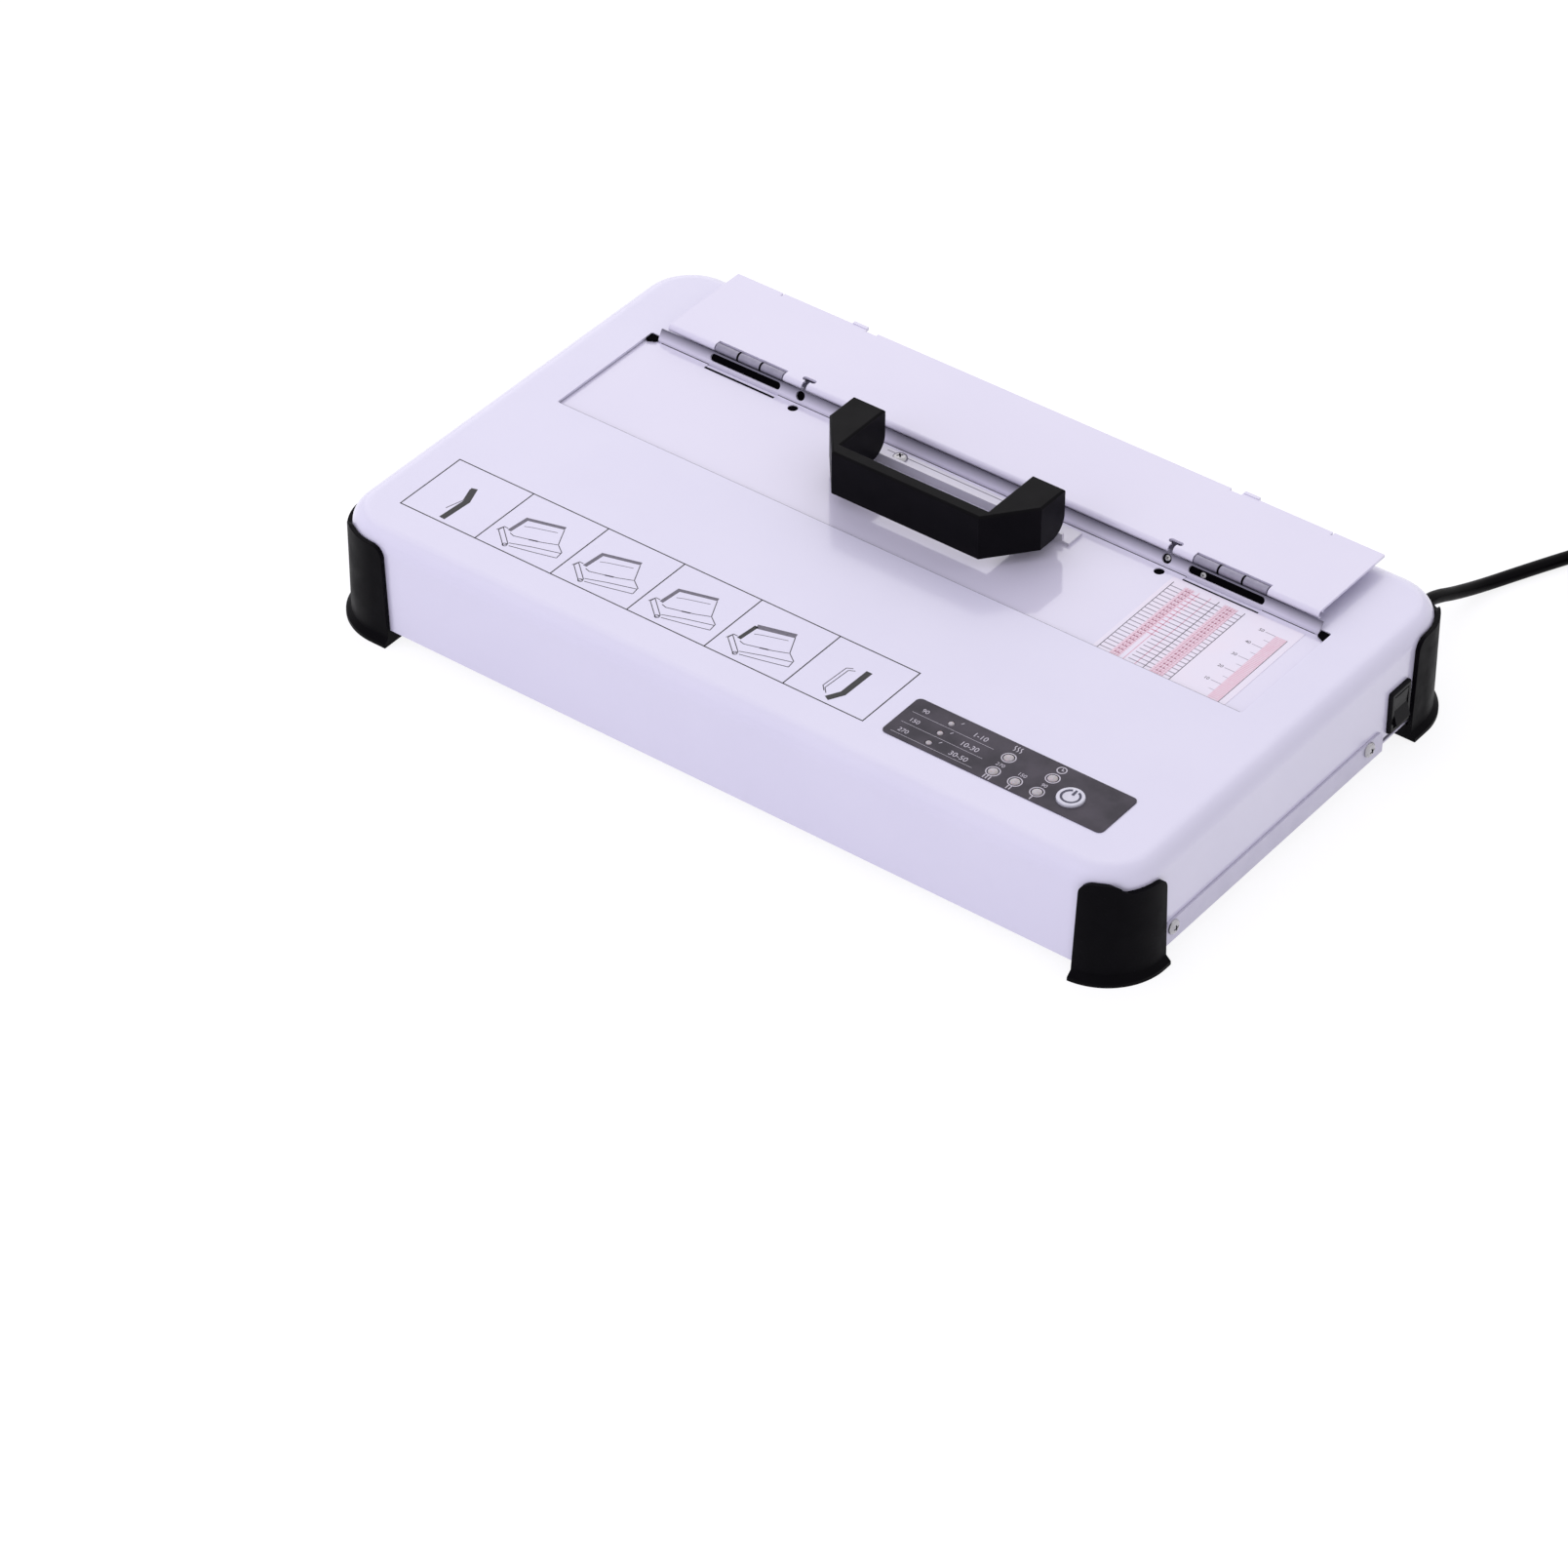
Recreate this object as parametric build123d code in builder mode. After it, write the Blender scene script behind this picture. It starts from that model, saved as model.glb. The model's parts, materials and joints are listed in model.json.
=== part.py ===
from build123d import *
import os
from math import asin, atan, atan2, cos, degrees, dist, hypot, pi, radians, sin, sqrt, tan

os.makedirs("parts", exist_ok=True)

# Thermal binding machine. Millimetres, +Z up. Origin: floor level, under the middle of
# the housing. -Y is the front with the control panel, +Y the rear with the cord.

# Housing
body_w = 410.0             # width of the housing
body_d = 242.0             # depth of the housing
body_h = 48.0              # height of the housing walls
body_r = 25.0              # upright corners
top_r = 8.0                # rounding of the top edge
sheet = 1.2                # painted steel sheet
foot_drop = 7.0            # floor to the underside of the housing
slip = 0.3                 # gap between pieces that move past each other
seat = 0.1                 # gap of a piece laid into another

z_bot = foot_drop
z_top = foot_drop + body_h
half_w = body_w / 2
half_d = body_d / 2
z_skin = z_top - sheet     # underside of the top skin

# Opening in the top
well_side = 27.0           # from the opening to the side walls
well_depth = 66.0
well_rear = 66.0           # rear edge, counted from the middle of the housing
well_half = half_w - well_side
well_front = well_rear - well_depth

# Sliding clamp table
table_t = 1.2              # its sheet
table_gap = 0.5            # under the top skin
table_side = 8.6           # reach under each side edge
table_reach = 16.0         # reach under the skin in front
jaw_back = 2.5             # from the opening's rear edge to the clamping face
travel = 50.0              # thickest spine that it takes
table_front = well_front - table_reach
jaw_line = well_rear - jaw_back
table_top = z_skin - table_gap
table_z = table_top - table_t
table_half = well_half + table_side

# Board slots, repeated on each side at the same place
slot_in = 52.0             # from the opening's side edge to the slot's middle
slot_len = 37.5
slot_h = 2.8
eye_step = 30.0            # from the slot's middle to the round eye beside it
eye_r = 1.7
table_eye_r = 2.3
notch_deep = 2.6           # notch in the table's rear edge
slot_x = well_half - slot_in
eye_x = slot_x - eye_step

# Rear jaw, with the slanted band that shows above the opening
jaw_t = 1.0
jaw_side = 5.0             # from its end to the opening's side edge
jaw_half = well_half - jaw_side
jaw_gap = 0.4              # between the closed jaws
band_z = z_top - 0.8       # where the band starts to lean back
band_len = 5.2
band_lean = 58.7           # degrees above the horizontal

# Back support flap and its hinges
flap_side = 8.0            # from its end to the opening's side edge
flap_margin = 3.5          # from its far edge to the rear wall
flap_t = 1.2
flap_lift = 6.3            # its top above the housing
hinge_r = 2.0              # barrels and the rolled front edge
pin_r = 0.9
run_fit = 0.05             # pins and trunnions in their holes
hinge_t = 0.8              # leaves
knuckle = 12.2
leaf_d = 13.0
flap_angle = 85.0          # how far it lifts
hinge_y = jaw_line + 6.0
flap_top = z_top + flap_lift
hinge_z = flap_top - hinge_r
flap_half = well_half - flap_side
flap_front = hinge_y - hinge_r
flap_d = half_d - flap_margin - flap_front
buffer_in = 20.0           # rubber buffers, in from the flap's ends
buffer_back = 13.5         # and from its far edge
buffer_r = 5.0

# Heater and trough
heater_side = 13.0         # from its end to the opening's side edge
heater_half = well_half - heater_side
heater_t = 4.0
heater_top = 28.0          # bottom of the trough
front_jaw_t = 1.5
element_t = 1.5

# Handle
handle_x = -2.5
handle_len = 110.4
handle_d = 38.2
handle_set = 11.1          # its back, from the clamping face
handle_back = jaw_line - handle_set
handle_front = handle_back - handle_d
handle_bar = 6.6
handle_leg = 16.9
handle_h = 21.7
handle_lift = 5.7          # above the table
bracket_t = 1.5
bracket_front = handle_back - bracket_t
bracket_d = 9.6
bracket_back = bracket_front + bracket_d
bracket_half = handle_len / 2 + 3.6
lip_h = 4.6
screw_span = 33.5          # bracket screws each side of its middle
screw_back = bracket_front + 5.7
bracket_screw_r = 1.6
ear_w = 11.0
ear_top = 16.0             # ear reach into the leg

# Control panel
panel_side = 27.7          # from the panel to the side wall
panel_edge = 22.8          # from the panel to the front wall
panel_w = 108.6
panel_d = 26.7
panel_t = 0.4
panel_x = (half_w - panel_side - panel_w, half_w - panel_side)
panel_y = (panel_edge - half_d, panel_edge - half_d + panel_d)
button_r = 6.0
button_travel = 0.8
lamp_r = 2.2
dot_r = 1.3
lamp_step = 10.8           # grid of the lamps
button_in = 22.3           # button's middle, from the panel's outer end
button_up = 11.0           # and from its front edge
lamp_in = 35.2             # lamps nearest the button
lamp_up = 6.0
dot_in = 88.1
dot_up = 5.2
dot_step = 7.7
button_spot = (panel_x[1] - button_in, panel_y[0] + button_up)
lamp_x = panel_x[1] - lamp_in
lamp_y = panel_y[0] + lamp_up
lamp_spots = (
    (lamp_x, lamp_y),
    (lamp_x - lamp_step, lamp_y),
    (lamp_x - 2 * lamp_step, lamp_y),
    (lamp_x - 2 * lamp_step, lamp_y + lamp_step),
    (lamp_x, lamp_y + lamp_step),
)
dot_x = panel_x[1] - dot_in
dot_y = panel_y[0] + dot_up
dot_spots = ((dot_x, dot_y), (dot_x, dot_y + dot_step), (dot_x, dot_y + 2 * dot_step))

# Feet
foot_wall = 2.1
foot_top = z_top - 4.5     # of an arm that stands high
foot_low = z_top - 9.0      # of an arm that stands low
foot_step = (3.0, 10.0)     # where its top edge comes down, in from the wall
foot_lean = 2.5            # degrees that the arm ends lean back
flare = 2.3
flare_h = 4.2
flare_rise = 2.3           # height of the flare's slope
pad_w = 16.0
arm_front = body_r + 8.0   # reach of the arms at the floor, in from the walls
arm_short = body_r - 2.0
arm_side = body_r + 3.9
arm_rear = body_r + 9.5
foot_screw_in = 13.0       # screw centre in from both walls
foot_screw_r = 2.0
foot_screw_seat = 3.6      # its head's seat above the floor

# Power switch in the right wall
switch_in = 9.2            # its middle, from the foot beside it
switch_up = 16.4           # and from the underside
switch_y = half_d - arm_rear - switch_in
switch_z = z_bot + switch_up
bezel_y = 15.0
bezel_z = 21.0
bezel_t = 2.0
rocker_tilt = 7.0          # each side of the middle

# Base tray
tray_t = 1.0
rim_h = 11.0               # outer side rims
upstand_h = 5.0            # upstands along the front and rear
rim_in_gap = 0.1           # rims end this far from the front feet
rim_in_rear = 55.0         # and this far from the rear wall
rim_back = half_d - rim_in_rear
rim_front = arm_side + rim_in_gap - half_d
wall_lift = 5.0            # side walls end this far above the tray
screw_up = 7.8             # side screws above the underside
screw_front = 5.0          # and from the rim's front end
screw_rear = 11.0          # and from its rear end
screw_z = z_bot + screw_up
screw_rows = (rim_front + screw_front, rim_back - screw_rear)
screw_r = 1.5
screw_fit = 0.1            # hole over screw, on the radius

# Cord
cord_d = 6.0
gland_len = 24.0
coil_pitch = cord_d + 0.5
coil_inner = 23.0
coil_turns = 7.475
gland_x = half_w - 33.0
gland_z = z_bot + 11.0
lie = cord_d / 2           # height of the middle of a cord lying on the floor
cord_y = half_d + gland_len
cord_route = (
    (gland_x, cord_y, gland_z),
    (gland_x, cord_y + 8.5, gland_z),
    (gland_x + 0.6, cord_y + 17.5, gland_z - 1.9),
    (gland_x + 1.3, cord_y + 25.8, gland_z - 5.8),
    (gland_x + 2.0, cord_y + 33.7, lie + 4.5),
    (gland_x + 3.2, cord_y + 42.4, lie + 1.3),
    (gland_x + 5.6, cord_y + 51.5, lie),
    (gland_x + 11.0, cord_y + 65.0, lie),
    (gland_x + 18.4, cord_y + 81.5, lie),
    (gland_x + 27.5, cord_y + 98.5, lie),
    (gland_x + 38.0, cord_y + 115.0, lie),
)


def block(x, y, z, mode=Mode.ADD):
    """Add or cut a box between two limits on each axis."""
    with Locations(((x[0] + x[1]) / 2, (y[0] + y[1]) / 2, (z[0] + z[1]) / 2)):
        Box(x[1] - x[0], y[1] - y[0], z[1] - z[0], mode=mode)


def around(middle, size):
    """Limits of a length laid out evenly about a middle."""
    return (middle - size / 2, middle + size / 2)


def save(piece, label):
    """Label a finished piece and write it out."""
    piece.part.label = label
    export_step(piece.part, f"parts/{label}.step")


def drill(spot, normal, radius, depth):
    """Cut a round hole from the spot against the normal."""
    with BuildSketch(Plane(origin=spot, z_dir=normal)) as hole:
        Circle(radius)
    extrude(hole.sketch, amount=-depth, mode=Mode.SUBTRACT)


def pan_head(spot, normal, radius, height, shank_r, shank_len):
    """A pan head screw: its head stands on the spot, its shank runs the other way."""
    with BuildSketch(Plane(origin=spot, z_dir=normal)) as head:
        Circle(radius)
    extrude(head.sketch, amount=height)
    with BuildSketch(Plane(origin=spot, z_dir=normal)) as shank:
        Circle(shank_r)
    extrude(shank.sketch, amount=-shank_len)


# ---------------------------------------------------------------- housing cover
gland_hole = cord_d / 2 + 2.0

with BuildPart() as housing_cover:
    with BuildSketch(Plane.XY.offset(z_bot)):
        RectangleRounded(body_w, body_d, body_r)
    extrude(amount=body_h)
    fillet(housing_cover.faces().sort_by(Axis.Z)[-1].edges(), top_r)
    offset(amount=-sheet, openings=housing_cover.faces().sort_by(Axis.Z)[0])
    # opening for the sliding table
    with BuildSketch(Plane.XY.offset(z_skin)):
        with Locations((0, (well_front + well_rear) / 2)):
            RectangleRounded(2 * well_half, well_rear - well_front, 1.0)
    extrude(amount=2 * sheet, mode=Mode.SUBTRACT)
    # button, lamp and dot holes under the panel
    with BuildSketch(Plane.XY.offset(z_skin)):
        with Locations(button_spot):
            Circle(button_r + slip)
        with Locations(*lamp_spots):
            Circle(lamp_r + slip)
        with Locations(*dot_spots):
            Circle(dot_r + slip)
    extrude(amount=2 * sheet, mode=Mode.SUBTRACT)
    # side walls stop above the tray
    for side in (-1, 1):
        block(
            around(side * half_w, 4 * sheet),
            (body_r - half_d, half_d - body_r),
            (z_bot - 1, z_bot + wall_lift),
            Mode.SUBTRACT,
        )
    # side screws
    for side in (-1, 1):
        for screw_y in screw_rows:
            drill(
                (side * (half_w + sheet), screw_y, screw_z), (side, 0, 0),
                screw_r + screw_fit, 4 * sheet,
            )
    # switch window and gland hole
    block(
        (half_w - 3 * sheet, half_w + sheet),
        around(switch_y, bezel_y - 1.8),
        around(switch_z, bezel_z - 1.8),
        Mode.SUBTRACT,
    )
    with BuildSketch(Plane.XZ.offset(-half_d - sheet)):
        with Locations((gland_x, gland_z)):
            Circle(gland_hole)
    extrude(amount=4 * sheet, mode=Mode.SUBTRACT)
save(housing_cover, "housing_cover")

# ---------------------------------------------------------------- base tray
inner_w = body_w - 2 * sheet - 2 * seat
inner_d = body_d - 2 * sheet - 2 * seat
rim_x = half_w + seat      # inner face of the outer rims

with BuildPart() as base_tray:
    with BuildSketch(Plane.XY.offset(z_bot)):
        RectangleRounded(inner_w, inner_d, body_r - sheet)
        with Locations((0, (rim_front + rim_back) / 2)):
            Rectangle(2 * (rim_x + tray_t), rim_back - rim_front)
    extrude(amount=tray_t)
    # upstand along the front and rear walls
    for side in (-1, 1):
        block(
            around(0, body_w - 2 * body_r),
            around(side * (inner_d / 2 - tray_t / 2), tray_t),
            (z_bot, z_bot + upstand_h),
        )
    # outer rims along the side walls, with rounded ends
    for side in (-1, 1):
        with BuildSketch(Plane.YZ.offset(side * (rim_x + tray_t / 2))):
            with Locations(((rim_front + rim_back) / 2, z_bot + rim_h / 2)):
                Rectangle(rim_back - rim_front, rim_h)
        extrude(amount=tray_t / 2, both=True)
    rim_ends = (
        base_tray.edges()
        .filter_by(Axis.X)
        .filter_by(lambda e: abs(e.length - tray_t) < 0.01 and e.center().Z > z_bot + rim_h - 0.1)
    )
    fillet(rim_ends, 4.0)
    # screw holes
    for side in (-1, 1):
        for screw_y in screw_rows:
            drill(
                (side * (rim_x + 2 * tray_t), screw_y, screw_z), (side, 0, 0),
                screw_r + screw_fit, 4 * tray_t,
            )
    with BuildSketch(Plane.XY.offset(z_bot)):
        with GridLocations(2 * (half_w - foot_screw_in), 2 * (half_d - foot_screw_in), 2, 2):
            Circle(foot_screw_r + screw_fit)
    extrude(amount=tray_t, mode=Mode.SUBTRACT)
    # cooling slots under the heater
    with BuildSketch(Plane.XY.offset(z_bot)):
        with GridLocations(26.0, 40.0, 9, 1):
            SlotOverall(18.0, 4.0, rotation=90)
    extrude(amount=tray_t, mode=Mode.SUBTRACT)
save(base_tray, "base_tray")

with BuildPart() as side_screws:
    for side in (-1, 1):
        for screw_y in screw_rows:
            pan_head(
                (side * (rim_x + tray_t), screw_y, screw_z), (side, 0, 0), 3.4, 2.0,
                screw_r, tray_t + seat + 2 * sheet,
            )
save(side_screws, "side_screws")

# ---------------------------------------------------------------- feet
foot_in = seat             # from the wall to the foot's inner face


def corner_foot(sx, sy, arm_x, arm_y, top_x, top_y, label):
    """A moulded corner guard that wraps the walls and carries the tray on a pad.
    One arm runs along X, the other along Y, each with its own height."""
    grow = foot_in + foot_wall
    high = max(top_x, top_y)
    low = min(top_x, top_y)
    step_from, step_to = foot_step
    limit_x = (sx * (half_w - arm_x), sx * (half_w + 20))
    limit_y = (sy * (half_d - arm_y), sy * (half_d + 20))
    limit_x = (min(limit_x), max(limit_x))
    limit_y = (min(limit_y), max(limit_y))
    with BuildPart() as foot:
        with BuildSketch():
            RectangleRounded(body_w + 2 * grow, body_d + 2 * grow, body_r + grow)
            RectangleRounded(
                body_w + 2 * foot_in, body_d + 2 * foot_in, body_r + foot_in, mode=Mode.SUBTRACT
            )
        extrude(amount=high)
        with BuildSketch():
            RectangleRounded(body_w + 2 * grow, body_d + 2 * grow, body_r + grow)
            RectangleRounded(
                body_w - 2 * pad_w, body_d - 2 * pad_w, body_r - pad_w, mode=Mode.SUBTRACT
            )
        extrude(amount=z_bot)
        # flare round the bottom
        with BuildSketch():
            RectangleRounded(
                body_w + 2 * (grow + flare), body_d + 2 * (grow + flare), body_r + grow + flare
            )
            RectangleRounded(body_w, body_d, body_r, mode=Mode.SUBTRACT)
        extrude(amount=flare_h - flare_rise)
        with BuildSketch(Plane.XY.offset(flare_h - flare_rise)):
            RectangleRounded(
                body_w + 2 * (grow + flare), body_d + 2 * (grow + flare), body_r + grow + flare
            )
        with BuildSketch(Plane.XY.offset(flare_h)):
            RectangleRounded(body_w + 2 * grow, body_d + 2 * grow, body_r + grow)
        loft()
        with BuildSketch(Plane.XY.offset(flare_h - flare_rise)):
            RectangleRounded(
                body_w - 2 * pad_w, body_d - 2 * pad_w, body_r - pad_w
            )
        extrude(amount=flare_rise, mode=Mode.SUBTRACT)
        # keep one corner, with arm ends that lean back
        with BuildSketch():
            with Locations((sum(limit_x) / 2, sum(limit_y) / 2)):
                Rectangle(limit_x[1] - limit_x[0], limit_y[1] - limit_y[0])
        extrude(amount=z_top, taper=foot_lean, mode=Mode.INTERSECT)
        # the lower arm's top edge comes down in a curve round the corner
        if low < high:
            if top_y < top_x:
                wall, sign, arm = half_d, sy, arm_y
                face = Plane.YZ.offset(sx * (half_w - body_r))
                reach = sx * (body_r + 20)
            else:
                wall, sign, arm = half_w, sx, arm_x
                face = Plane.XZ.offset(-sy * (half_d - body_r))
                reach = -sy * (body_r + 20)
            start = sign * (wall - step_from)
            stop = sign * (wall - step_to)
            end = sign * (wall - arm - step_to)
            with BuildSketch(face):
                with BuildLine():
                    Spline((start, high), (stop, low), tangents=[(-sign, 0), (-sign, 0)])
                    Polyline((stop, low), (end, low), (end, high + 1), (start, high + 1), (start, high))
                make_face()
            extrude(amount=reach, mode=Mode.SUBTRACT)
        # rounded upper ends of the two arms
        lean = tan(radians(foot_lean))
        end_x = half_w - arm_x + top_x * lean
        end_y = half_d - arm_y + top_y * lean
        ends = foot.edges().filter_by(
            lambda e: e.length < foot_wall + 0.2
            and (
                dist((abs(e.center().X), e.center().Z), (end_x, top_x)) < 0.1
                or dist((abs(e.center().Y), e.center().Z), (end_y, top_y)) < 0.1
            )
        )
        fillet(ends, 6.0)
        # countersunk screw seat from below
        with BuildSketch():
            with Locations((sx * (half_w - foot_screw_in), sy * (half_d - foot_screw_in))):
                Circle(foot_screw_r + screw_fit)
        extrude(amount=z_bot, mode=Mode.SUBTRACT)
        with BuildSketch():
            with Locations((sx * (half_w - foot_screw_in), sy * (half_d - foot_screw_in))):
                Circle(4.4)
        extrude(amount=foot_screw_seat, mode=Mode.SUBTRACT)
    save(foot, label)


corner_foot(-1, -1, arm_front, arm_side, foot_top, foot_low, "foot_front_left")
corner_foot(1, -1, arm_short, arm_side, foot_top, foot_low, "foot_front_right")
corner_foot(1, 1, arm_short, arm_rear, foot_low, foot_top, "foot_rear_right")
corner_foot(-1, 1, arm_short, arm_side, foot_low, foot_low, "foot_rear_left")

with BuildPart() as foot_screws:
    for sx in (-1, 1):
        for sy in (-1, 1):
            pan_head(
                (sx * (half_w - foot_screw_in), sy * (half_d - foot_screw_in), foot_screw_seat),
                (0, 0, -1), 3.8, 2.4, foot_screw_r, z_bot - foot_screw_seat + 3.0,
            )
save(foot_screws, "foot_screws")

# ---------------------------------------------------------------- guide rails
rail_t = 1.5
rail_in = well_half - 2.0
rail_web = table_half + 0.6
rail_ledge = table_z - seat
rail_y = (table_front - travel - 3.0, well_rear - 1.0)

for side, label in ((-1, "guide_rail_left"), (1, "guide_rail_right")):
    with BuildPart() as guide_rail:
        with BuildSketch(Plane.XZ.offset(-rail_y[0])):
            with BuildLine():
                Polyline(
                    (side * rail_in, rail_ledge),
                    (side * rail_web, rail_ledge),
                    (side * rail_web, z_skin),
                    (side * (rail_web + 9.0), z_skin),
                    (side * (rail_web + 9.0), z_skin - rail_t),
                    (side * (rail_web + rail_t), z_skin - rail_t),
                    (side * (rail_web + rail_t), rail_ledge - rail_t),
                    (side * rail_in, rail_ledge - rail_t),
                    close=True,
                )
            make_face()
        extrude(amount=-(rail_y[1] - rail_y[0]))
    save(guide_rail, label)

# ---------------------------------------------------------------- clamp table
with BuildPart() as clamp_table:
    block((-table_half, table_half), (table_front, jaw_line), (table_z, table_top))
    with BuildSketch(Plane.XY.offset(table_z)):
        for side in (-1, 1):
            with Locations((side * slot_x, jaw_line - notch_deep / 2)):
                Rectangle(slot_len, notch_deep)
            with Locations((side * eye_x, jaw_line - table_eye_r - 1.2)):
                Circle(table_eye_r)
            with Locations((handle_x + side * screw_span, screw_back)):
                Circle(bracket_screw_r + screw_fit)
    extrude(amount=table_t, mode=Mode.SUBTRACT)
save(clamp_table, "clamp_table")

with BuildPart() as front_jaw:
    with BuildSketch(Plane.YZ):
        with BuildLine():
            Polyline(
                (jaw_line, table_z),
                (jaw_line, heater_top + 0.6),
                (jaw_line - front_jaw_t, heater_top + 0.6),
                (jaw_line - front_jaw_t, table_z - front_jaw_t),
                (jaw_line - 16.0, table_z - front_jaw_t),
                (jaw_line - 16.0, table_z),
                close=True,
            )
        make_face()
    extrude(amount=heater_half, both=True)
    with BuildSketch(Plane.XY.offset(table_z - front_jaw_t)):
        for side in (-1, 1):
            with Locations((side * eye_x, jaw_line - table_eye_r - 1.2)):
                Circle(table_eye_r)
            with Locations((handle_x + side * screw_span, screw_back)):
                Circle(bracket_screw_r + screw_fit)
    extrude(amount=front_jaw_t, mode=Mode.SUBTRACT)
save(front_jaw, "front_jaw")

card_in = 18.1             # its outer edge, from the table's side edge
card_w = 65.5
card_x = (table_half - card_in - card_w, table_half - card_in)
card_t = 0.15
with BuildPart() as thickness_card:
    block(card_x, (table_front + 8.0, jaw_line - notch_deep - 0.4), (table_top, table_top + card_t))
save(thickness_card, "thickness_card")

# ---------------------------------------------------------------- rear jaw
jaw_y = jaw_line + jaw_gap
jaw_foot_z = heater_top - heater_t - 1.2
lean_y = cos(radians(band_lean))
lean_z = sin(radians(band_lean))


def on_band(along, deep=0.0):
    """A point on the slanted band: along its slope, and deep behind its front face."""
    return (
        jaw_y + along * lean_y + deep * lean_z,
        band_z + along * lean_z - deep * lean_y,
    )


band_plane = Plane(
    origin=(0, *on_band(0)), x_dir=(1, 0, 0), z_dir=(0, -lean_z, lean_y)
)
knee = jaw_t * tan(radians((90 - band_lean) / 2))

with BuildPart() as rear_jaw:
    with BuildSketch(Plane.YZ):
        with BuildLine():
            Polyline(
                (jaw_y, jaw_foot_z),
                (jaw_y, band_z),
                on_band(band_len),
                on_band(band_len, jaw_t),
                (jaw_y + jaw_t, band_z - knee),
                (jaw_y + jaw_t, jaw_foot_z + jaw_t),
                (jaw_y + 14.0, jaw_foot_z + jaw_t),
                (jaw_y + 14.0, jaw_foot_z),
                close=True,
            )
        make_face()
    extrude(amount=jaw_half, both=True)
    with BuildSketch(band_plane):
        for side in (-1, 1):
            with Locations((side * slot_x, 2.7)):
                RectangleRounded(slot_len, slot_h, 0.6)
            with Locations((side * eye_x, 3.2)):
                Circle(eye_r)
    extrude(amount=-2 * jaw_t, mode=Mode.SUBTRACT)
save(rear_jaw, "rear_jaw")

bracket_in = 33.0          # from the end of the rear jaw
bracket_x = jaw_half - bracket_in
bracket_w = 24.0
bracket_fold = 1.5         # its sheet
with BuildPart() as jaw_brackets:
    for side in (-1, 1):
        with BuildSketch(Plane.YZ.offset(side * bracket_x)):
            with BuildLine():
                Polyline(
                    (jaw_y + bracket_w / 2, jaw_foot_z),
                    (jaw_y, jaw_foot_z),
                    (jaw_y, jaw_foot_z - bracket_fold),
                    (jaw_y + bracket_w / 2 - bracket_fold, jaw_foot_z - bracket_fold),
                    (jaw_y + bracket_w / 2 - bracket_fold, z_bot + tray_t),
                    (jaw_y + bracket_w, z_bot + tray_t),
                    (jaw_y + bracket_w, z_bot + tray_t + bracket_fold),
                    (jaw_y + bracket_w / 2, z_bot + tray_t + bracket_fold),
                    close=True,
                )
            make_face()
        extrude(amount=bracket_w / 2, both=True)
save(jaw_brackets, "jaw_brackets")

# ---------------------------------------------------------------- flap and hinges
flap_under = flap_top - flap_t
notch_back = hinge_y + hinge_r + slip
hook_in = 1.5

with BuildPart() as back_support:
    with BuildSketch(Plane.YZ):
        with Locations((hinge_y, hinge_z)):
            Circle(hinge_r)
        with BuildLine():
            Polyline(
                (hinge_y, flap_top),
                (flap_front + flap_d, flap_top),
                (flap_front + flap_d, flap_under),
                (hinge_y, flap_under),
                close=True,
            )
        make_face()
        with Locations((hinge_y, hinge_z)):
            Circle(hinge_r - 0.8, mode=Mode.SUBTRACT)
        with Locations((hinge_y + hinge_r / 2, hinge_z - hinge_r / 2 - 0.1)):
            Rectangle(hinge_r, hinge_r + 0.2, mode=Mode.SUBTRACT)
    extrude(amount=flap_half, both=True)
    for side in (-1, 1):
        # clearance for the hinge barrels
        block(
            around(side * slot_x, slot_len),
            (flap_front - 1, notch_back),
            (hinge_z - 2 * hinge_r, flap_top + 1),
            Mode.SUBTRACT,
        )
        # access slot beside each hinge
        block(
            around(side * eye_x, 2.6),
            (flap_front - 1, hinge_y + 2.0),
            (hinge_z - 2 * hinge_r, flap_top + 1),
            Mode.SUBTRACT,
        )
        with BuildSketch(Plane.XY.offset(flap_under - 1)):
            with Locations((side * eye_x, hinge_y + 2.4)):
                SlotOverall(7.0, 2.6)
            # hook tabs and notches along the far edge
            with Locations((side * eye_x, flap_front + flap_d - hook_in / 2)):
                Rectangle(6.0, hook_in)
            with Locations((side * (slot_x + 18.6), flap_front + flap_d - hook_in / 2)):
                Rectangle(0.9, 2 * hook_in)
        extrude(amount=flap_t + 2, mode=Mode.SUBTRACT)
        block(
            around(side * (eye_x + 7.0), 7.5),
            (flap_front + flap_d - 0.1, flap_front + flap_d + hook_in),
            (flap_under, flap_top + 0.4),
        )
save(back_support, "back_support")


def knuckle_span(index):
    """Limits of a knuckle along the pin, counted from -1 to 1 about the middle."""
    return (index - 0.5) * knuckle + 0.15, (index + 0.5) * knuckle - 0.15


def barrel(side, index):
    """A bored knuckle of one hinge."""
    low, high = knuckle_span(index)
    with BuildSketch(Plane.YZ.offset(side * slot_x + low)) as ring:
        with Locations((hinge_y, hinge_z)):
            Circle(hinge_r)
    extrude(ring.sketch, amount=high - low)


def bore(side, index):
    """The pin hole of a knuckle."""
    low, high = knuckle_span(index)
    with BuildSketch(Plane.YZ.offset(side * slot_x + low)) as hole:
        with Locations((hinge_y, hinge_z)):
            Circle(pin_r + run_fit)
    extrude(hole.sketch, amount=high - low, mode=Mode.SUBTRACT)


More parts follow.
